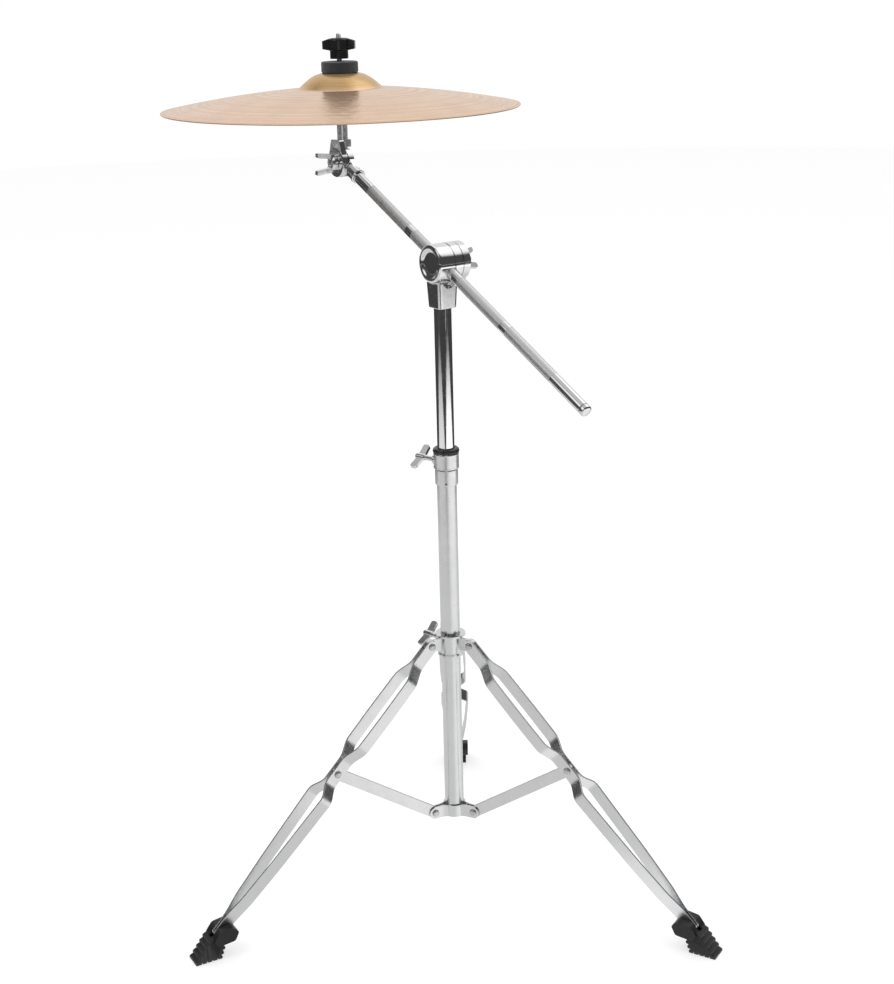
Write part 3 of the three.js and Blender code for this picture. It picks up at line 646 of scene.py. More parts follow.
def make_hub():
    height, r, pivot_r = HUB["height"], HUB["r"], HUB["pivot_r"]
    half, flange_low = height / 2, height / 2 - 0.5
    tab_half = LEG["width"] / 2
    tube_bore = LOWER_TUBE["r"] + GAP
    low, lip_r, lip_top = HUB_LIP["bottom"], HUB_LIP["r"], HUB_LIP["top"]
    flare = [(lip_r - 0.5, low), (lip_r, low + 0.5), (lip_r, lip_top - 0.6)]
    flare += [(lip_r - 0.7, lip_top), (r, lip_top + 1)]
    shell = lathe([(0, low), *flare, (r, half), (0, half)], 96)
    flange = bar(HUB["flange_r"], flange_low, flange_low + HUB["flange"], 96)
    parts = [flange]
    tools = [bar(tube_bore, -40, 40, 96)]
    for azimuth in SIDES.values():
        outline = strap_outline(pivot_r - 12, 2 * tab_half)
        tab = turned(prism(outline, -HUB["tab"] / 2, HUB["tab"] / 2), 90, "X")
        parts.append(turned(shifted(tab, x=12), azimuth))
        pin = shifted(along_y(bar(RIVET["r"] + GAP, -5, 5)), x=pivot_r)
        tools.append(turned(pin, azimuth))
    bolt = joint("hub_bolt_spin")
    rise = (bolt["pos_m"][2] - hub_height) / MM
    azimuth = azimuth_of(bolt["axis"])
    parts.append(turned(shifted(along_x(bar(5.2, r - 1, r + 2.5)), z=rise), azimuth))
    tools.append(turned(shifted(along_x(bar(BOLT_HOLE["clear"], 5, 30)), z=rise), azimuth))
    mesh = softened(cut(union(shell, *parts), *tools), 0.5)
    origin = column_foot + UP * hub_height
    put("leg_hub", mesh, Matrix.Translation(origin), "hub", "satin_chrome")

    for side, turn in (("left", 235), ("right", 305)):
        head = lathe([(0, 0), (2.7, 0), (2.7, 1.2), (2.3, 2.2), (1.4, 2.9), (0, 3)], 48)
        slot = block((-4, 4), (-0.45, 0.45), (1.9, 5))
        screw = softened(cut(head, slot), 0.15, 2)
        out, _ = about_z(turn)
        seat = origin + (out * 14.2 + UP * (flange_low + HUB["flange"] + GAP)) * MM
        put(f"hub_screw_{side}", screw, spot(seat, turn + 20), "hub", "zinc_steel")


def strap_outline(length, width, steps=20):
    """A bar outline from x = 0 to x = length with round ends."""
    half = width / 2
    ends = []
    for x, start in ((0, math.pi / 2), (length, -math.pi / 2)):
        for k in range(steps + 1):
            t = start + math.pi * k / steps
            ends.append((x + half * math.cos(t), half * math.sin(t)))
    return ends


def wing_bolt(tip, seat, turn):
    """A bolt along +X with a cast handle: a round hub across which two straight wings stand."""
    x = seat + 12
    wing = [(1, -3), (2.2, -9), (3, -17), (11.4, -16.8), (9.7, -6), (9.7, 0)]
    outline = eased_loop(wing + [(a, -b) for a, b in wing[-2::-1]], 3, 8)
    handle = shifted(turned(prism(outline, -2, 2), 90, "X"), x=x)
    head = lathe([(0, x), (3.2, x), (3.7, x + 0.5), (3.7, x + 11.4), (3.1, x + 12), (0, x + 12.1)], 48)
    cast = softened(union(handle, along_x(head)), 0.9, 4)
    shank = along_x(threaded(BOLT_HOLE["r"], tip, x + 1))
    return turned(union(cast, shank), turn, "X")


def threaded(r, low, high, pitch=1.0, depth=0.32):
    """A bar with a thread's ridges, and a chamfered end at each end."""
    profile = [(0, low), (r - 0.7, low), (r - depth, low + 0.5)]
    z = low + 0.6
    while z + pitch < high - 0.5:
        profile += [(r - depth, z), (r, z + pitch * 0.42), (r, z + pitch * 0.58)]
        z += pitch
    profile += [(r - depth, z), (r - 0.6, high), (0, high)]
    return lathe(profile, 48)


def strap_line():
    """The bent centre line of a leg strap: along the leg, and half the spread of the pair."""
    lens, bow = 14, 16.5
    foot = STRAP_OFFSET - 0.9
    corners = [
        (0, STRAP_OFFSET), (29, STRAP_OFFSET), (47, lens), (100, lens + 0.6), (142, lens),
        (159, STRAP_OFFSET), (194, STRAP_OFFSET), (209, bow), (300, bow - 4.6), (352, 7.4),
        (377, foot), (LEG["length"] + 6, foot),
    ]
    return eased(corners, 5.5, 8)


def strap_mesh(line, width, thickness, end_reach=0.0):
    """A flat bar along a bent line, with rounded edges and round ends about the line's two ends."""
    half, thick, corner, steps = width / 2, thickness / 2, 0.45, 12
    points = [Vector(p) for p in line]
    first = (points[0] - points[1]).normalized()
    last = (points[-1] - points[-2]).normalized()
    run = []
    for k in range(steps, 0, -1):
        t = math.radians(86) * k / steps
        run.append((points[0] + first * half * math.sin(t), half * math.cos(t)))
    run += [(p, half) for p in points]
    for k in range(1, steps + 1):
        t = math.radians(86) * k / steps
        reach = half + end_reach
        run.append((points[-1] + last * reach * math.sin(t), half * math.cos(t)))
    rings = []
    for i, (p, wide) in enumerate(run):
        before = run[max(i - 1, 0)][0]
        after = run[min(i + 1, len(run) - 1)][0]
        a = (p - before).normalized() if i else (after - p).normalized()
        b = (after - p).normalized() if i < len(run) - 1 else a
        mitre = (Vector((-a.y, a.x)) + Vector((-b.y, b.x))).normalized()
        across = mitre / max(mitre.dot(Vector((-a.y, a.x))), 0.6)
        ring = []
        for sx, sz in ((1, 1), (-1, 1), (-1, -1), (1, -1)):
            start = {(1, 1): 0, (-1, 1): 90, (-1, -1): 180, (1, -1): 270}[(sx, sz)]
            radius = min(corner, wide * 0.5)
            for step in range(4):
                t = math.radians(start + 30 * step)
                n = sx * (thick - radius) + radius * math.cos(t)
                w = sz * (wide - radius) + radius * math.sin(t)
                q = p + across * n
                ring.append((q.x, q.y, w))
        rings.append(ring)
    return loft(rings)


def make_leg(side, azimuth):
    """One double-braced leg: two bent straps, their rivets, the brace and the rubber foot."""
    out, _ = about_z(azimuth)
    pivot = Vector(joint(f"{side}_leg_fold")["pos_m"])
    bracket = Vector(joint(f"{side}_strut_fold")["pos_m"])
    tilt = math.radians(LEG["angle"])
    along = out * math.sin(tilt) - UP * math.cos(tilt)
    across = UP.cross(out)
    leg_place = place(pivot, along, across)
    body = f"{side}_leg"
    line = strap_line()
    hole_r = RIVET["r"] + GAP
    for letter, sign in (("a", 1), ("b", -1)):
        strap = strap_mesh([(x, sign * y) for x, y in line], LEG["width"], LEG["plate"])
        holes = [shifted(along_y(bar(hole_r, -30, 30)), x=x) for x in (0, LEG["brace"])]
        put(f"{side}_leg_strap_{letter}", cut(strap, *holes), leg_place, body, "satin_chrome")
        head_place = leg_place @ Matrix.Translation((LEG["brace"] * MM, 0, 0))
        put(f"{side}_leg_rivet_{letter}", half_rivet(sign), head_place, body, "zinc_steel")
    upright = place(pivot, out, across)
    put(f"{side}_hub_rivet", rivet(STRAP_OFFSET + 1), upright, "hub", "zinc_steel")
    ear_reach = STRUT["plate"] / 2 + GAP + BRACKET["plate"]
    upright = place(bracket, out, across)
    put(f"{side}_bracket_rivet", rivet(ear_reach), upright, "base", "zinc_steel")

    joint_point = pivot + along * LEG["brace"] * MM
    run = joint_point - bracket
    length = run.length / MM
    brace = strap_mesh([(0, 0), (length / 2, 0), (length, 0)], STRUT["width"], STRUT["plate"])
    hole = along_y(bar(hole_r, -5, 5))
    strut_place = place(bracket, run, across)
    put(f"{side}_brace", cut(brace, hole), strut_place, f"{side}_strut", "satin_chrome")
    make_foot(side, out, leg_place)


def make_foot(side, out, leg_place):
    """A rubber foot: ridges that spread outwards to the floor, studs on the sole, a socket block."""
    outer_r, length, ridge, count = FOOT["outer_r"], FOOT["length"], FOOT["ridge"], FOOT["ridges"]
    outer_slope, inner_slope = 0.78, 0.36
    outer, inner = [], []
    for i in range(count):
        low = i * ridge
        reach = outer_r - outer_slope * low
        back = outer_r - length - inner_slope * low
        outer += [(reach, low), (reach - 0.6, low + ridge * 0.45), (reach - 5, low + ridge * 0.8)]
        inner += [(back, low), (back - 0.4, low + ridge * 0.45), (back + 2.6, low + ridge * 0.8)]
    top = count * ridge
    outer += [(outer_r - outer_slope * top - 3, top), (outer_r - outer_slope * top - 8, 33)]
    inner += [(outer_r - length - inner_slope * top + 1, z) for z in (top, 33)]
    half = FOOT["width"] / 2
    body = turned(prism(outer + inner[::-1], -half, half), 90, "X")
    socket = eased_loop([(291, 19), (311, 17), (316, 24), (308, 34.5), (293, 36.5), (286, 29)], 2.2)
    block_half = FOOT["top_width"] / 2
    cap = turned(prism(socket, -block_half, block_half), 90, "X")
    foot_place = place(column_foot, out, UP.cross(out))
    slot_half = STRAP_OFFSET - 0.9 + LEG["plate"] / 2 + GAP
    high = LEG["width"] / 2 + GAP
    slot = block((378, LEG["length"] + 15), (-slot_half, slot_half), (-high, high))
    slot.transform(Matrix.Scale(MM, 4))
    slot.transform(foot_place.inverted() @ leg_place)
    slot.transform(Matrix.Scale(1 / MM, 4))
    grooves = [
        block((outer_r - length + 4.5 + 6.2 * k, outer_r - length + 5.9 + 6.2 * k), (-20, 20), (-1, 1.6))
        for k in range(4)
    ]
    groove_run = block((outer_r - length - 5, outer_r + 5), (-0.8, 0.8), (-1, 1.6))
    mesh = cut(union(body, cap), slot, groove_run, *grooves)
    put(f"{side}_foot", softened(mesh, 0.55), foot_place, f"{side}_leg", "black_rubber")


# ---------------------------------------------------------------- column
def make_collar():
    inside = LOWER_TUBE["r"] + GAP
    r, neck_r, step, top = COLLAR["r"], COLLAR["neck_r"], COLLAR["step"], COLLAR["height"]
    profile = [
        (inside, 0), (neck_r - 0.8, 0), (neck_r - 0.2, 0.3), (neck_r, 1), (neck_r, step - 1.9),
        (neck_r - 0.5, step - 1.6), (neck_r - 0.7, step - 0.7), (r - 0.5, step - 0.3), (r, step + 0.3),
        (r, step + 1.5), (r - 0.25, step + 1.8), (r - 0.25, top - 2.8), (r, top - 2.4), (r, top - 1.4),
        (r - 0.4, top - 0.4), (r - 1.2, top), (inside, top), (inside, 0),
    ]
    bolt, face = COLLAR["bolt"], COLLAR["boss"]
    spin = Vector(joint("collar_bolt_spin")["axis"])
    azimuth = azimuth_of(spin)
    boss = along_x(lathe([(0, 12), (5.6, 12), (5.6, face - 0.8), (4.9, face), (0, face)]))
    boss = turned(shifted(boss, z=bolt), azimuth)
    hole = turned(shifted(along_x(bar(BOLT_HOLE["clear"], 0, 30)), z=bolt), azimuth)
    dimple = turned(shifted(along_x(lathe([(0, 10.9), (0.6, 11.6), (2.2, 14), (0, 14)])), z=2.6), -92)
    mesh = cut(union(lathe(profile, 128), boss), bar(inside, -1, top + 1, 128), hole, dimple)
    origin = column_foot + UP * collar_bottom
    put("collar", mesh, Matrix.Translation(origin), "base", "satin_chrome")

    rim = top + GAP
    ring_r, height, bore = BUSHING["r"], BUSHING["height"], UPPER_TUBE["r"] + GAP
    bushing = [
        (bore, rim), (ring_r - 0.6, rim), (ring_r, rim + 0.6), (ring_r, rim + height - 2.6),
        (ring_r - 0.4, rim + height - 1.3), (ring_r - 1.4, rim + height - 0.3),
        (ring_r - 2.6, rim + height), (bore + 0.5, rim + height), (bore, rim + height - 0.5),
        (bore, rim),
    ]
    slit = block((0, 30), (-0.5, 0.5), (rim + 1.5, rim + height + 1))
    slits = [turned(slit.copy(), 20 + 120 * k) for k in range(3)]
    mesh = cut(lathe(bushing, 96), *slits)
    put("collar_bushing", mesh, Matrix.Translation(origin), "swivel", "black_nylon")
    for name, tube_r, seat in (
        ("collar_bolt", UPPER_TUBE["r"], COLLAR["boss"]),
        ("hub_bolt", LOWER_TUBE["r"], HUB["r"] + 2.5),
    ):
        spin = joint(f"{name}_spin")
        axis = Vector(spin["axis"])
        origin = Vector((column_foot.x, column_foot.y, spin["pos_m"][2]))
        bolt = wing_bolt(tube_r + 0.5, seat, BOLT_TURN[name])
        node = name.replace("_bolt", "_wing_bolt")
        put(node, bolt, place(origin, axis, UP.cross(axis)), name, "cast_chrome")


def make_upper_tube():
    length = (upper_top - upper_bottom) / MM
    mesh = tube(UPPER_TUBE["r"], UPPER_TUBE["bore"], 0, length)
    origin = column_foot + UP * upper_bottom
    put("upper_tube", mesh, Matrix.Translation(origin), "column", "mirror_chrome")


# ---------------------------------------------------------------- boom clamp
# In the clamp's frames X points along the boom to the tilter, Y along the drum's axis to its cap.
yoke_place = place(drum_centre, boom_level, drum_axis)
boom_place = place(drum_centre, boom_axis, drum_axis)


def rounded_square(width, corner, z, steps=6):
    half = width / 2 - corner
    ring = []
    for start, (sx, sy) in zip((0, 90, 180, 270), ((1, 1), (-1, 1), (-1, -1), (1, -1))):
        for k in range(steps + 1):
            t = math.radians(start + 90 * k / steps)
            ring.append((sx * half + corner * math.cos(t), sy * half + corner * math.sin(t), z))
    return ring


def make_yoke():
    bottom, top, wide, narrow = (YOKE[k] for k in ("bottom", "top", "top_width", "bottom_width"))
    drum_r, back, disc = DRUM["r"], DRUM["back"], DRUM["disc"]
    corner = 4.2
    sections = [
        rounded_square(narrow - 1.2, corner, bottom),
        rounded_square(narrow, corner, bottom + 0.8),
        rounded_square(wide, corner, top - 1),
        rounded_square(wide - 1.4, corner, top),
    ]
    body = loft(sections)
    neck = block((-9, 9), (-drum_r, 11), (top - 3, -8))
    web = block((-9, 9), (back, disc - GAP), (top - 3, 0))
    face = disc - GAP / 2
    rim = [(drum_r - 1.2, back), (drum_r, back + 1.2), (drum_r, face)]
    plate = along_y(lathe([(0, back), *rim, (0, face)], 128))
    seat = along_y(bar(drum_r + 0.8, face, 40, 128))
    tube_bore = bar(UPPER_TUBE["r"] + GAP, bottom - 1, (upper_top - drum_centre.z) / MM + GAP, 96)
    bolt_bore = along_y(bar(CLAMP_BOLT_R + GAP, -60, 0))
    notch = shifted(along_x(bar(8.2, -30, -7.5, 64)), z=top + 1.5)
    mesh = union(cut(union(body, neck, web), seat), plate)
    mesh = softened(cut(mesh, tube_bore, bolt_bore, notch), 0.7)
    put("boom_yoke", mesh, yoke_place, "column", "cast_chrome")


def make_clamp():
    r, cap, split, disc = (DRUM[k] for k in ("r", "cap", "split", "disc"))
    eye_half, eye_r = 3.3, 9.3

    def boom_bore():
        return along_x(bar(BOOM_TUBE["r"] + GAP, -30, 30, 96))

    def pocket():
        return along_x(bar(eye_r + 0.5, -eye_half - GAP, eye_half + GAP, 64))

    low = split + GAP / 2
    dish = [(r - 4.6 - 0.9 * k, cap - 0.15 - 2.2 * math.sin(math.pi / 2 * k / 6)) for k in range(7)]
    profile = [
        (0, low), (r - 0.5, low), (r, low + 0.5), (r, cap - 2.8), (r - 0.8, cap - 1),
        (r - 2.4, cap - 0.1), (r - 3.4, cap), *dish, (0, cap - 2.4),
    ]
    mesh = softened(cut(along_y(lathe(profile, 160)), boom_bore(), pocket()), 0.3, 2)
    put("drum_cap", mesh, boom_place, "clamp", "mirror_chrome")

    low, high = disc + GAP / 2, split - GAP / 2
    profile = [(0, low), (r - 0.5, low), (r, low + 0.5), (r, high - 0.5), (r - 0.5, high), (0, high)]
    bolt_bore = along_y(bar(CLAMP_BOLT_R + GAP, -40, 0))
    mesh = softened(cut(along_y(lathe(profile, 160)), boom_bore(), pocket(), bolt_bore), 0.3, 2)
    put("drum_disc", mesh, boom_place, "clamp", "mirror_chrome")

    eye = along_x(bar(eye_r, -eye_half, eye_half, 64))
    shank = along_y(threaded(CLAMP_BOLT_R, -38, -7))
    mesh = softened(cut(union(eye, shank), boom_bore()), 0.2, 2)
    put("clamp_eyebolt", mesh, boom_place, "clamp", "zinc_steel")


def prong_nut(size, bore):
    """A cast nut along Z with two prongs that rise from its rim and lean outwards."""
    hub_r, hub, reach = size["hub_r"], size["hub"], size["reach"]
    outer = [(2, 0.5), (hub_r - 0.5, 0.5), (hub_r + 2.6, hub)]
    outer += [(hub_r + 4.6, reach), (hub_r - 0.9, reach)]
    outline = eased_loop([*outer, (hub_r - 2.6, hub + 3), (2, hub)], 2.2, 6)
    prongs = [turned(turned(prism(outline, -2.6, 2.6), 90, "X"), t) for t in (0, 180)]
    collar = lathe([(0, 0), (hub_r - 1, 0), (hub_r, 1), (hub_r, hub - 2), (hub_r - 2, hub), (0, hub)], 96)
    cast = softened(union(collar, *prongs), 1.0, 4)
    return cut(cast, bar(bore, -1, reach + 1)) if bore else cast


def make_drum_nut():
    seat = yoke_place @ Matrix.Translation((0, (DRUM["back"] - GAP) * MM, 0))
    turn = math.radians(DRUM_NUT["turn"])
    seat = seat @ Matrix.Rotation(math.pi / 2, 4, "X") @ Matrix.Rotation(turn, 4, "Z")
    mesh = prong_nut(DRUM_NUT, CLAMP_BOLT_R + GAP)
    put("drum_wing_nut", mesh, seat, "drum_nut", "cast_chrome")


def knurl(r, low, high, pitch=1.35, depth=0.16, around=60):
    """Rings of raised diamonds round Z from low to high: alternate points stand up."""
    rows = round((high - low) / (pitch / 2))
    rings = []
    for i in range(rows + 1):
        z = low + (high - low) * i / rows
        edge = i in (0, rows)
        ring = []
        for k in range(around):
            t = TURN * k / around
            reach = r if (i + k) % 2 and not edge else r - depth
            ring.append((reach * math.cos(t), reach * math.sin(t), z))
        rings.append(ring)
    return rings


def plain_ring(r, z, around=60):
    turns = [TURN * k / around for k in range(around)]
    return [(r * math.cos(t), r * math.sin(t), z) for t in turns]


KNURLED = ((-211.5, -130.5), (-119, -38), (-26.5, 54.5), (66, 147))  # stretches along the boom


def make_boom():
    """The boom: a tube whose long knurled stretches grip the clamp, with smooth stretches between."""
    r, bore = BOOM_TUBE["r"], BOOM_TUBE["bore"]
    low = -BOOM["to_end"]
    high = BOOM["to_tilter"] - TILTER["sleeve_from"] - 1.2
    shoulder = 0.35
    rings = [plain_ring(r - shoulder, low), plain_ring(r, low + shoulder)]
    for start, end in KNURLED:
        rings.append(plain_ring(r, start))
        rings += knurl(r, start + 0.3, end - 0.3)
        rings.append(plain_ring(r, end))
    rings += [plain_ring(r, high - shoulder), plain_ring(r - shoulder, high)]
    solid = along_x(loft(rings))
    mesh = cut(solid, along_x(bar(bore, low - 1, high + 1, 64)))
    piece = put("boom_arm", mesh, boom_place, "boom", "mirror_chrome", smooth=50)
    piece.data.materials.append(FINISH["knurled_chrome"])
    for face in piece.data.polygons:
        x = face.center.x / MM
        radius = math.hypot(face.center.y, face.center.z) / MM
        if radius > bore + 0.5 and any(a < x < b for a, b in KNURLED):
            face.material_index = 1
    inner = bore - GAP
    plug = [(0, 0), (inner - 0.4, 0), (inner, -0.6), (inner, -12)]
    plug += [(r - 0.3, -12), (r, -12.4), (r, -16.2)]
    dome = [(r - 0.5, -17.1), (r - 1.6, -17.9), (r - 3.4, -18.4), (0, -18.6)]
    seat = boom_place @ Matrix.Translation(((12 - GAP + low) * MM, 0, 0))
    put("boom_end_plug", along_x(lathe(plug + dome, 64)), seat, "boom", "cast_chrome")


# ---------------------------------------------------------------- tilter and cymbal seat
tilter_place = place(tilter_centre, boom_axis, drum_axis)
rod_place = place(tilter_centre, boom_level, drum_axis)


def toothed_disc(r, low, high, teeth=36, depth=0.9):
    """A disc along Z whose top face carries a ring of radial teeth out to its rim."""
    count = 2 * teeth
    soft = 0.9
    rows = [(0, low), (r - soft, low), (r - soft * 0.3, low + soft * 0.3), (r, low + soft)]

    rings = [plain_ring(max(radius, 0.01), z, count) for radius, z in rows]
    rim = plain_ring(r, high, count)
    rings.append([(x, y, z - depth * (k % 2)) for k, (x, y, z) in enumerate(rim)])
    inner = plain_ring(r - 5, high, count)
    rings.append([(x, y, z - depth * 0.7 * (k % 2)) for k, (x, y, z) in enumerate(inner)])
    rings.append(plain_ring(r - 5.4, high - 0.3, count))
    return loft(rings)


def make_tilter_base():
    disc_r, back, split, sleeve_from, sleeve_to = (
        TILTER[k] for k in ("disc_r", "back", "split", "sleeve_from", "sleeve_to")
    )
    face = split - GAP / 2
    disc = along_y(toothed_disc(disc_r, back, face))
    arm = eased_loop([(0, -15), (0, 15), (-20, 8), (-26, 7), (-26, -7), (-20, -8)], 1.5)
    web = turned(prism(arm, -face + 1.2, -back), 90, "X")
    profile = [(0, -sleeve_to), (8, -sleeve_to), (8.6, -sleeve_to + 0.6), (8.6, -sleeve_to + 2.6)]
    profile += [(7.7, -sleeve_to + 3.4), (7.7, -sleeve_from + 0.6), (6.8, -sleeve_from + 1.5)]
    sleeve = along_x(lathe([*profile, (0, -sleeve_from + 1.5)], 96))
    bore = along_x(bar(BOOM_TUBE["r"] + GAP, -sleeve_to - 1, -sleeve_from - 0.9, 96))
    bolt_bore = along_y(bar(BOLT_HOLE["clear"], -30, 30))
    mesh = cut(softened(union(sleeve, web), 0.7), bore)
    mesh = cut(union(mesh, disc), bolt_bore)
    put("tilter_base", mesh, tilter_place, "tilter", "cast_chrome", smooth=30)


def make_tilter_head():
    disc_r, split, front = (TILTER[k] for k in ("disc_r", "split", "front"))
    bottom, top, sleeve_top, sleeve_r = (
        HEAD[k] for k in ("block_bottom", "block_top", "sleeve_top", "sleeve_r")
    )
    face = split + GAP / 2
    disc = along_y(turned(toothed_disc(disc_r, -front, -face), 180, "X"))
    cheek = eased_loop([(-14, 8), (14, 8), (8.5, top), (-8.5, top)], 2)
    web = turned(prism(cheek, -front + 0.6, -face - 1), 90, "X")
    corner = eased_loop([(-7.6, -7.2), (7.6, -7.2), (7.6, front - 1), (-7.6, front - 1)], 2)
    boss = prism(corner, bottom, top)
    sleeve = lathe([(0, bottom + 2), (sleeve_r, bottom + 2), (sleeve_r, sleeve_top - 1.2),
                    (sleeve_r - 0.8, sleeve_top), (0, sleeve_top)], 96)
    bore = bar(ROD["r"] + GAP, ROD["bottom"] - GAP, sleeve_top + 1, 64)
    bolt_bore = along_y(bar(BOLT_HOLE["clear"], -30, 30))
    mesh = softened(union(boss, web, sleeve), 0.7)
    mesh = cut(union(mesh, disc), bore, bolt_bore)
    put("tilter_head", mesh, rod_place, "rod", "cast_chrome", smooth=30)

    seat = rod_place @ Matrix.Translation((0, (front + GAP) * MM, 0))
    turn = math.radians(TILTER_NUT["turn"])
    seat = seat @ Matrix.Rotation(-math.pi / 2, 4, "X") @ Matrix.Rotation(turn, 4, "Z")
    nut = union(prong_nut(TILTER_NUT, 0), threaded(BOLT_HOLE["r"], -18, 1))
    put("tilter_wing_bolt", nut, seat, "tilter_bolt", "cast_chrome")


def make_cymbal_rod():
    """The rod that the cymbal sits on: a smooth lower part, a shoulder and a threaded stud."""
    r, thread_r, bottom, shoulder, top = (ROD[k] for k in ("r", "thread_r", "bottom", "shoulder", "top"))
    pitch, depth = 1.0, 0.34
    profile = [(0, bottom), (r - 0.5, bottom), (r, bottom + 0.5), (r, shoulder - 0.6), (r - 0.6, shoulder)]
    z = shoulder
    while z + pitch < top - 0.9:
        profile += [(thread_r - depth, z), (thread_r, z + pitch * 0.42), (thread_r, z + pitch * 0.58)]
        z += pitch
    profile += [(thread_r - depth, z), (thread_r - 0.5, top - 0.6), (thread_r - 1.1, top), (0, top)]
    put("cymbal_rod", lathe(profile, 72), rod_place, "rod", "mirror_chrome")


washer_low = ROD["shoulder"] + GAP
felt_low = washer_low + SEAT["washer"] + GAP
cymbal_low = felt_low + SEAT["felt"] + GAP
upper_felt_low = cymbal_low + CYMBAL["plate"] + GAP
felt_top = upper_felt_low + SEAT["felt"]


def make_seat():
    r, thick = SEAT["washer_r"], SEAT["washer"]
    hole = ROD["thread_r"] + GAP
    cup = [
        (hole, washer_low), (r - 3, washer_low), (r - 0.5, washer_low + 0.5), (r, washer_low + 1),
        (r, washer_low + 1.6), (r - 0.6, washer_low + thick), (r - 2, washer_low + thick - 0.1),
        (r - 3.4, washer_low + 1.6), (hole, washer_low + 1.6), (hole, washer_low),
    ]
    put("seat_washer", lathe(cup, 128), rod_place, "rod", "zinc_steel")
    sleeve_r, top = SEAT["sleeve_r"], felt_top - 1
    low = washer_low + 1.6 + GAP
    sleeve = [
        (hole, low), (sleeve_r, low), (sleeve_r, top - 0.5), (sleeve_r - 0.5, top), (hole, top),
        (hole, low),
    ]
    put("seat_sleeve", lathe(sleeve, 64), rod_place, "rod", "black_nylon")
    for name, low, lower_body, upper_body in (
        ("lower_felt", felt_low, "rod", "seat"),
        ("upper_felt", upper_felt_low, "seat", "rod"),
    ):
        felt = put(name, felt_mesh(low), rod_place, None, "black_felt")
        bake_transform(felt)


def felt_mesh(low):
    """A pressed felt washer: its rim bulges a little, and its faces and edges are uneven."""
    hole, r, height = SEAT["felt_hole"], SEAT["felt_r"], SEAT["felt"]
    soft = 1.6
    profile = [(hole + (r - soft - hole) * k / 14, 0) for k in range(15)]
    profile += [(r - soft + soft * math.sin(t), soft - soft * math.cos(t)) for t in arc_steps(0, 90, 5)]
    profile += [(r, soft + (height - 2 * soft) * k / 8) for k in range(1, 8)]
    upper_arc = arc_steps(0, 90, 5)
    profile += [(r - soft + soft * math.cos(t), height - soft + soft * math.sin(t)) for t in upper_arc]
    profile += [(r - soft + (hole - r + soft) * k / 14, height) for k in range(15)]
    profile += [(hole, height * (1 - k / 6)) for k in range(1, 7)]
    mesh = shifted(lathe(profile, 144), z=low)
    for v in mesh.vertices:
        radius = math.hypot(v.co.x, v.co.y)
        wave = noise.noise(v.co * 0.16 + Vector((0, 0, low)))
        fuzz = noise.noise(v.co * 0.9 + Vector((low, 0, 0)))
        inward = 0.12 + 0.28 * abs(wave) + 0.1 * abs(fuzz)
        if radius > hole + 1:
            v.co.x *= 1 - inward / radius
            v.co.y *= 1 - inward / radius
        towards = 1 if v.co.z < low + height / 2 else -1
        v.co.z += towards * 0.1 * (abs(wave) + abs(fuzz))
    return mesh


def arc_steps(start, end, steps):
    return [math.radians(start + (end - start) * k / steps) for k in range(steps + 1)]


def cymbal_drop(radius):
    """The height of the cymbal's surface below the top of its bell, at a radius."""
    bell_r, flat, bell, bow = (CYMBAL[k] for k in ("bell_r", "bell_flat", "bell", "bow"))
    if radius <= flat:
        return 0
    if radius <= bell_r:
        t = (radius - flat) / (bell_r - flat)
        return bell * (1 - math.cos(t * math.pi / 2)) ** 1.08
    t = (radius - bell_r) / (CYMBAL["r"] - bell_r)
    return bell + bow * (0.55 * t + 0.45 * t * t)


def hammer_marks(rings=11, spacing=19, depth=0.16, size=6.5):
    """Where the cymbal was hammered: rings of shallow dents between the bell and the edge."""
    marks = []
    first = CYMBAL["bell_r"] + 14
    for i in range(rings):
        radius = first + i * (CYMBAL["r"] - first - 8) / (rings - 1)
        count = round(TURN * radius / spacing)
        for k in range(count):
            wobble = noise.noise_vector(Vector((i * 3.1, k * 1.7, 0.5)))
            turn = TURN * (k + 0.4 * wobble.x + 0.5 * (i % 2)) / count
            reach = radius + 3.5 * wobble.y
            dent = depth * (1 + 0.5 * wobble.z)
            marks.append((reach * math.cos(turn), reach * math.sin(turn), dent, size))
    return marks


def make_cymbal():
    sides, step = 288, 1.6
    hole, r, plate = CYMBAL["hole"], CYMBAL["r"], CYMBAL["plate"]
    count = round((r - hole) / step)
    radii = [hole + (r - hole) * k / count for k in range(count + 1)]
    lathing = 0.02
    over = [(x, plate - cymbal_drop(x) + lathing * math.sin(x * 3.9)) for x in radii]
    under = [(x, -cymbal_drop(x)) for x in radii]
    rim = [(r + 0.12, plate * 0.5 - cymbal_drop(r))]
    mesh = lathe([*under, *rim, *over[::-1], under[0]], sides)
    cell = 12.0
    grid = {}
    for mark in hammer_marks():
        grid.setdefault((round(mark[0] / cell), round(mark[1] / cell)), []).append(mark)
    for v in mesh.vertices:
        x, y = v.co.x, v.co.y
        key = (round(x / cell), round(y / cell))
        dent = 0.0
        for i in (-1, 0, 1):
            for j in (-1, 0, 1):
                for mx, my, depth, size in grid.get((key[0] + i, key[1] + j), ()):
                    away = ((x - mx) ** 2 + (y - my) ** 2) / size**2
                    if away < 1:
                        dent += depth * (1 - away) ** 2
        v.co.z -= dent
    matrix = Matrix.Translation(tilter_centre + UP * cymbal_low * MM)
    cymbal = put("crash_cymbal", mesh, matrix, "cymbal", "cymbal_bronze", smooth=40)
    cymbal.visible_glossy = False  # the stand's chrome mirrors a studio without the cymbal


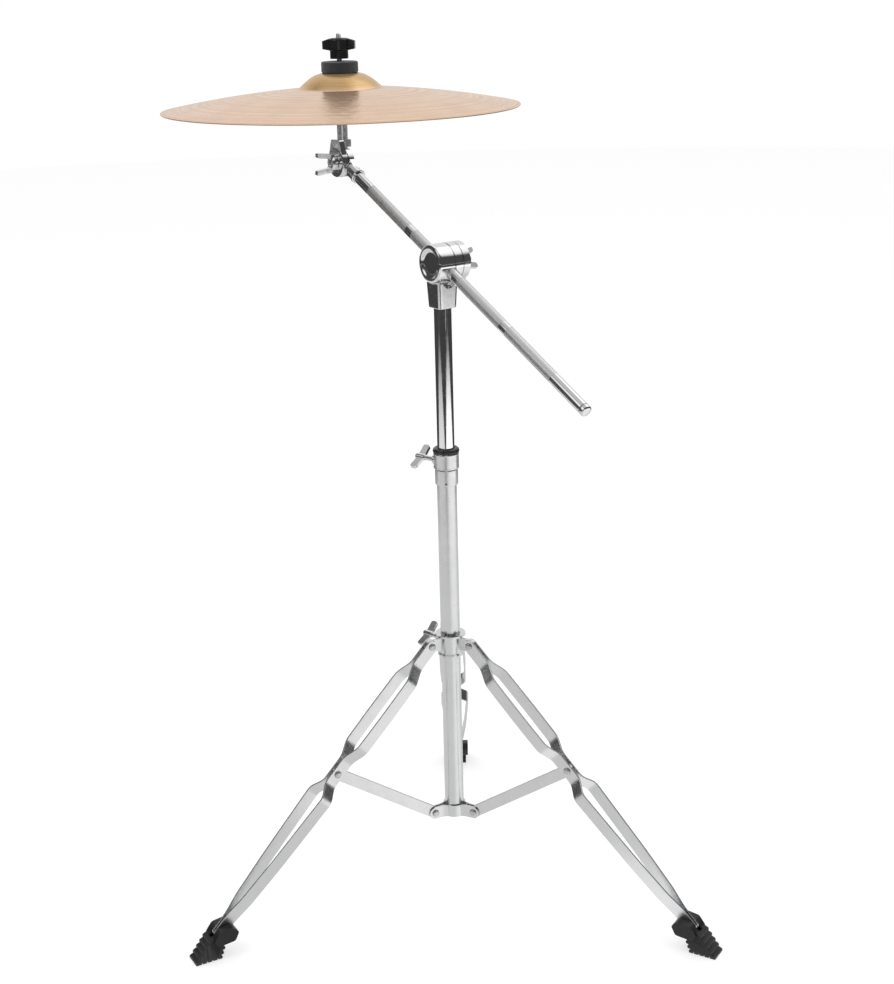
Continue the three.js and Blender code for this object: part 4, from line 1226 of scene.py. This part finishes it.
def make_top_nut():
    """The black nut: a round hub under a dome, with a stubby wing on each side of the dome."""
    hub_r, dome_r, height = TOP_NUT["hub_r"], TOP_NUT["dome_r"], TOP_NUT["height"]
    span, wing = TOP_NUT["half_span"], TOP_NUT["wing"]
    half = [(0, 8.2), (hub_r - 1, 8.8), (span, 10.5), (span, 19.3)]
    half += [(dome_r - 1, height - 0.6), (0, height - 0.2)]
    wings = [turned(turned(prism(half, -wing / 2, wing / 2), 90, "X"), t) for t in (0, 180)]
    profile = [(0, 0), (hub_r, 0), (hub_r, 8.6), (dome_r, 10), (dome_r, 19.5)]
    round_over = arc_steps(0, 90, 6)
    profile += [(dome_r - 3 + 3 * math.cos(t), height - 2.9 + 2.9 * math.sin(t)) for t in round_over]
    body = lathe([*profile, (0, height)], 96)
    rib_count = 18
    rib = bar(0.7, 0.8, 8, 16)
    ribs = [turned(shifted(rib.copy(), x=hub_r + 0.15), 360 * k / rib_count) for k in range(rib_count)]
    mesh = softened(union(body, *wings), 1.1, 4)
    mesh = cut(mesh, *ribs, bar(ROD["thread_r"] + GAP, -1, 40), bar(4.4, height - 1.2, height + 1))
    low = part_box("top_wing_nut")[0].z
    origin = Vector((tilter_centre.x, tilter_centre.y, low))
    put("top_wing_nut", mesh, spot(origin, -6), "top_nut", "black_nylon")


make_lower_tube()
for side, azimuth in SIDES.items():
    make_bracket_plate(side, azimuth)
    make_leg(side, azimuth)
make_hub()
make_collar()
make_upper_tube()
make_yoke()
make_clamp()
make_drum_nut()
make_boom()
make_tilter_base()
make_tilter_head()
make_cymbal_rod()
make_seat()
make_cymbal()
make_top_nut()


# ---------------------------------------------------------------- floor, studio, light and camera
FLOOR_TONE = 0.5  # the share of the floor's brightness that is its own, so that shadows stay faint


def make_floor():
    made = bpy.data.materials.new("pale_floor")
    made.use_nodes = True
    shader = made.node_tree.nodes["Principled BSDF"]
    shader.inputs["Base Color"].default_value = (0.5, 0.5, 0.5, 1)
    shader.inputs["Roughness"].default_value = 0.9
    shader.inputs["Emission Color"].default_value = (1, 1, 1, 1)
    shader.inputs["Emission Strength"].default_value = FLOOR_TONE
    mesh = lathe([(0, 0), (40000, 0)], 64)
    mesh.transform(Matrix.Scale(MM, 4))
    mesh.materials.append(made)
    floor = bpy.data.objects.new("floor", mesh)
    scene.collection.objects.link(floor)
    floor.location = (column_foot.x, column_foot.y, -0.0004)


def direction(azimuth, elevation=0):
    out, _ = about_z(azimuth)
    tilt = math.radians(elevation)
    return out * math.cos(tilt) + UP * math.sin(tilt)


class Glow:
    """An emitting stage material: a base brightness and soft patches of light by direction."""

    def __init__(self, name, base):
        self.material = bpy.data.materials.new(name)
        self.material.use_nodes = True
        self.tree = self.material.node_tree
        self.tree.nodes.remove(self.tree.nodes["Principled BSDF"])
        self.emission = self.tree.nodes.new("ShaderNodeEmission")
        output = self.tree.nodes["Material Output"]
        self.tree.links.new(self.emission.outputs[0], output.inputs["Surface"])
        self.position = self.tree.nodes.new("ShaderNodeTexCoord").outputs["Object"]
        self.toward = self.vector("NORMALIZE", self.position).outputs["Vector"]
        self.distance = self.vector("LENGTH", self.position).outputs["Value"]
        self.total = self.math("ADD", base, 0.0)

    def vector(self, operation, a, b=None):
        node = self.tree.nodes.new("ShaderNodeVectorMath")
        node.operation = operation
        self.tree.links.new(a, node.inputs[0])
        if b is not None:
            node.inputs[1].default_value = b
        return node

    def math(self, operation, a, b):
        node = self.tree.nodes.new("ShaderNodeMath")
        node.operation = operation
        for socket, value in zip(node.inputs, (a, b)):
            if isinstance(value, bpy.types.NodeSocket):
                self.tree.links.new(value, socket)
            else:
                socket.default_value = value
        return node.outputs[0]

    def ramp(self, value, start, end, low=0.0, high=1.0):
        node = self.tree.nodes.new("ShaderNodeMapRange")
        node.interpolation_type = "SMOOTHSTEP"
        self.tree.links.new(value, node.inputs["Value"])
        for key, number in (("From Min", start), ("From Max", end), ("To Min", low), ("To Max", high)):
            node.inputs[key].default_value = number
        return node.outputs["Result"]

    def patch(self, azimuth, elevation, inner, outer, brightness, *fades):
        """Light towards a direction, full inside the inner angle and gone at the outer one.

        A fade (gone, full) takes it from nothing at one distance in metres to full at another."""
        facing = self.vector("DOT_PRODUCT", self.toward, direction(azimuth, elevation)).outputs["Value"]
        edge = self.ramp(facing, math.cos(math.radians(outer)), math.cos(math.radians(inner)))
        amount = self.math("MULTIPLY", edge, brightness)
        for gone, full in fades:
            amount = self.math("MULTIPLY", amount, self.ramp(self.distance, gone, full))
        self.total = self.math("ADD", self.total, amount)

    def wedge(self, azimuth, near, wide, far, narrow, soft, brightness):
        """Light towards an azimuth, wide at one distance in metres and narrow at a farther one."""
        facing = self.vector("DOT_PRODUCT", self.toward, direction(azimuth)).outputs["Value"]
        angle = self.math("ARCCOSINE", self.math("MINIMUM", facing, 1.0), 0.0)
        half = self.tree.nodes.new("ShaderNodeMapRange")
        self.tree.links.new(self.distance, half.inputs["Value"])
        for key, number in (("From Min", near), ("From Max", far), ("To Min", wide), ("To Max", narrow)):
            half.inputs[key].default_value = math.radians(number) if key[:2] == "To" else number
        inside = self.math("SUBTRACT", half.outputs["Result"], angle)
        edge = self.ramp(inside, 0.0, math.radians(soft))
        amount = self.math("MULTIPLY", edge, brightness)
        for gone, full in ((near * 0.83, near), (far, near)):
            amount = self.math("MULTIPLY", amount, self.ramp(self.distance, gone, full))
        self.total = self.math("ADD", self.total, amount)

    def pool(self, brightness, reach):
        """Light out to a distance in metres, gone at a second one."""
        amount = self.ramp(self.distance, reach[1], reach[0], 0.0, brightness)
        self.total = self.math("ADD", self.total, amount)

    def finish(self):
        self.tree.links.new(self.total, self.emission.inputs["Strength"])
        return self.material


def reflected_only(name, mesh, origin, glow):
    """A stage surface that only glossy reflections can see: part of a guessed studio."""
    mesh.materials.append(glow.finish())
    surface = bpy.data.objects.new(name, mesh)
    scene.collection.objects.link(surface)
    surface.location = origin
    surface.visible_camera = False
    surface.visible_shadow = False
    surface.visible_diffuse = False


def make_studio():
    """What the chrome reflects: a pale table near the stand, dark beyond it, and soft boxes."""
    table = Glow("reflected_table", 0.05)
    table.pool(0.64, (1.45, 1.85))
    table.patch(-28, 0, 8, 60, 0.26, (2.0, 1.5))
    table.wedge(-34, 1.8, 56, 3.3, 4, 9, 1.35)
    table.wedge(-146, 1.8, 50, 3.3, 3, 9, 0.8)
    disc = lathe([(0, 0), (8000, 0)], 96)
    disc.transform(Matrix.Scale(MM, 4))
    reflected_only("reflected_table", disc, column_foot + UP * 0.002, table)

    room = Glow("reflected_room", 0.06)
    room.patch(90, 25, 30, 55, 0.75)
    room.patch(0, 90, 20, 40, 0.5)
    room.patch(-149, 38, 8, 24, 1.1)
    room.patch(20, 52, 12, 30, 1.0)
    room.patch(-89, 5, 6, 16, 0.9)
    room_r, steps = 9000, 32
    turns = [math.pi / 2 * k / steps for k in range(steps)]
    arc = [(room_r * math.cos(t), room_r * math.sin(t)) for t in turns]
    dome = lathe([*arc, (0, room_r)], 96)
    dome.transform(Matrix.Scale(MM, 4))
    reflected_only("reflected_room", dome, column_foot, room)


def make_lights():
    world = bpy.data.worlds.new("studio")
    world.use_nodes = True
    scene.world = world
    world.node_tree.nodes["Background"].inputs["Color"].default_value = (1, 1, 1, 1)
    world.node_tree.nodes["Background"].inputs["Strength"].default_value = 1.0
    for name, azimuth, elevation, size, power in (
        ("key", -149, 50, 1.3, 12),
        ("fill", -33, 45, 1.0, 9),
    ):
        light = bpy.data.lights.new(name, "AREA")
        light.shape = "DISK"
        light.size = size
        light.energy = power
        lamp = bpy.data.objects.new(name, light)
        scene.collection.objects.link(lamp)
        away = direction(azimuth, elevation)
        lamp.location = column_foot + UP * 0.5 + away * 2.6
        lamp.rotation_euler = away.to_track_quat("Z", "Y").to_euler()
        lamp.visible_glossy = False


def make_camera():
    """The photograph's view: 1.79 m from the column, 1.06 m up, looking a little down."""
    distance, height = 1.7933, 1.0633
    heading, pitch, roll = 91.17, math.radians(17.7), math.radians(1.38)
    out, _ = about_z(heading)
    forward = out * math.cos(pitch) - UP * math.sin(pitch)
    right = forward.cross(UP).normalized()
    above = right.cross(forward)
    up = above * math.cos(roll) + right * math.sin(roll)
    right = right * math.cos(roll) - above * math.sin(roll)
    camera = bpy.data.objects.new("camera", bpy.data.cameras.new("camera"))
    camera.data.lens = 61.5
    camera.data.sensor_width = 36
    camera.data.clip_end = 200
    scene.collection.objects.link(camera)
    columns = Matrix((right, up, -forward)).transposed().to_4x4()
    camera.matrix_world = Matrix.Translation(column_foot - out * distance + UP * height) @ columns
    scene.camera = camera


make_floor()
make_studio()
make_lights()
make_camera()
scene.view_settings.view_transform = "Standard"
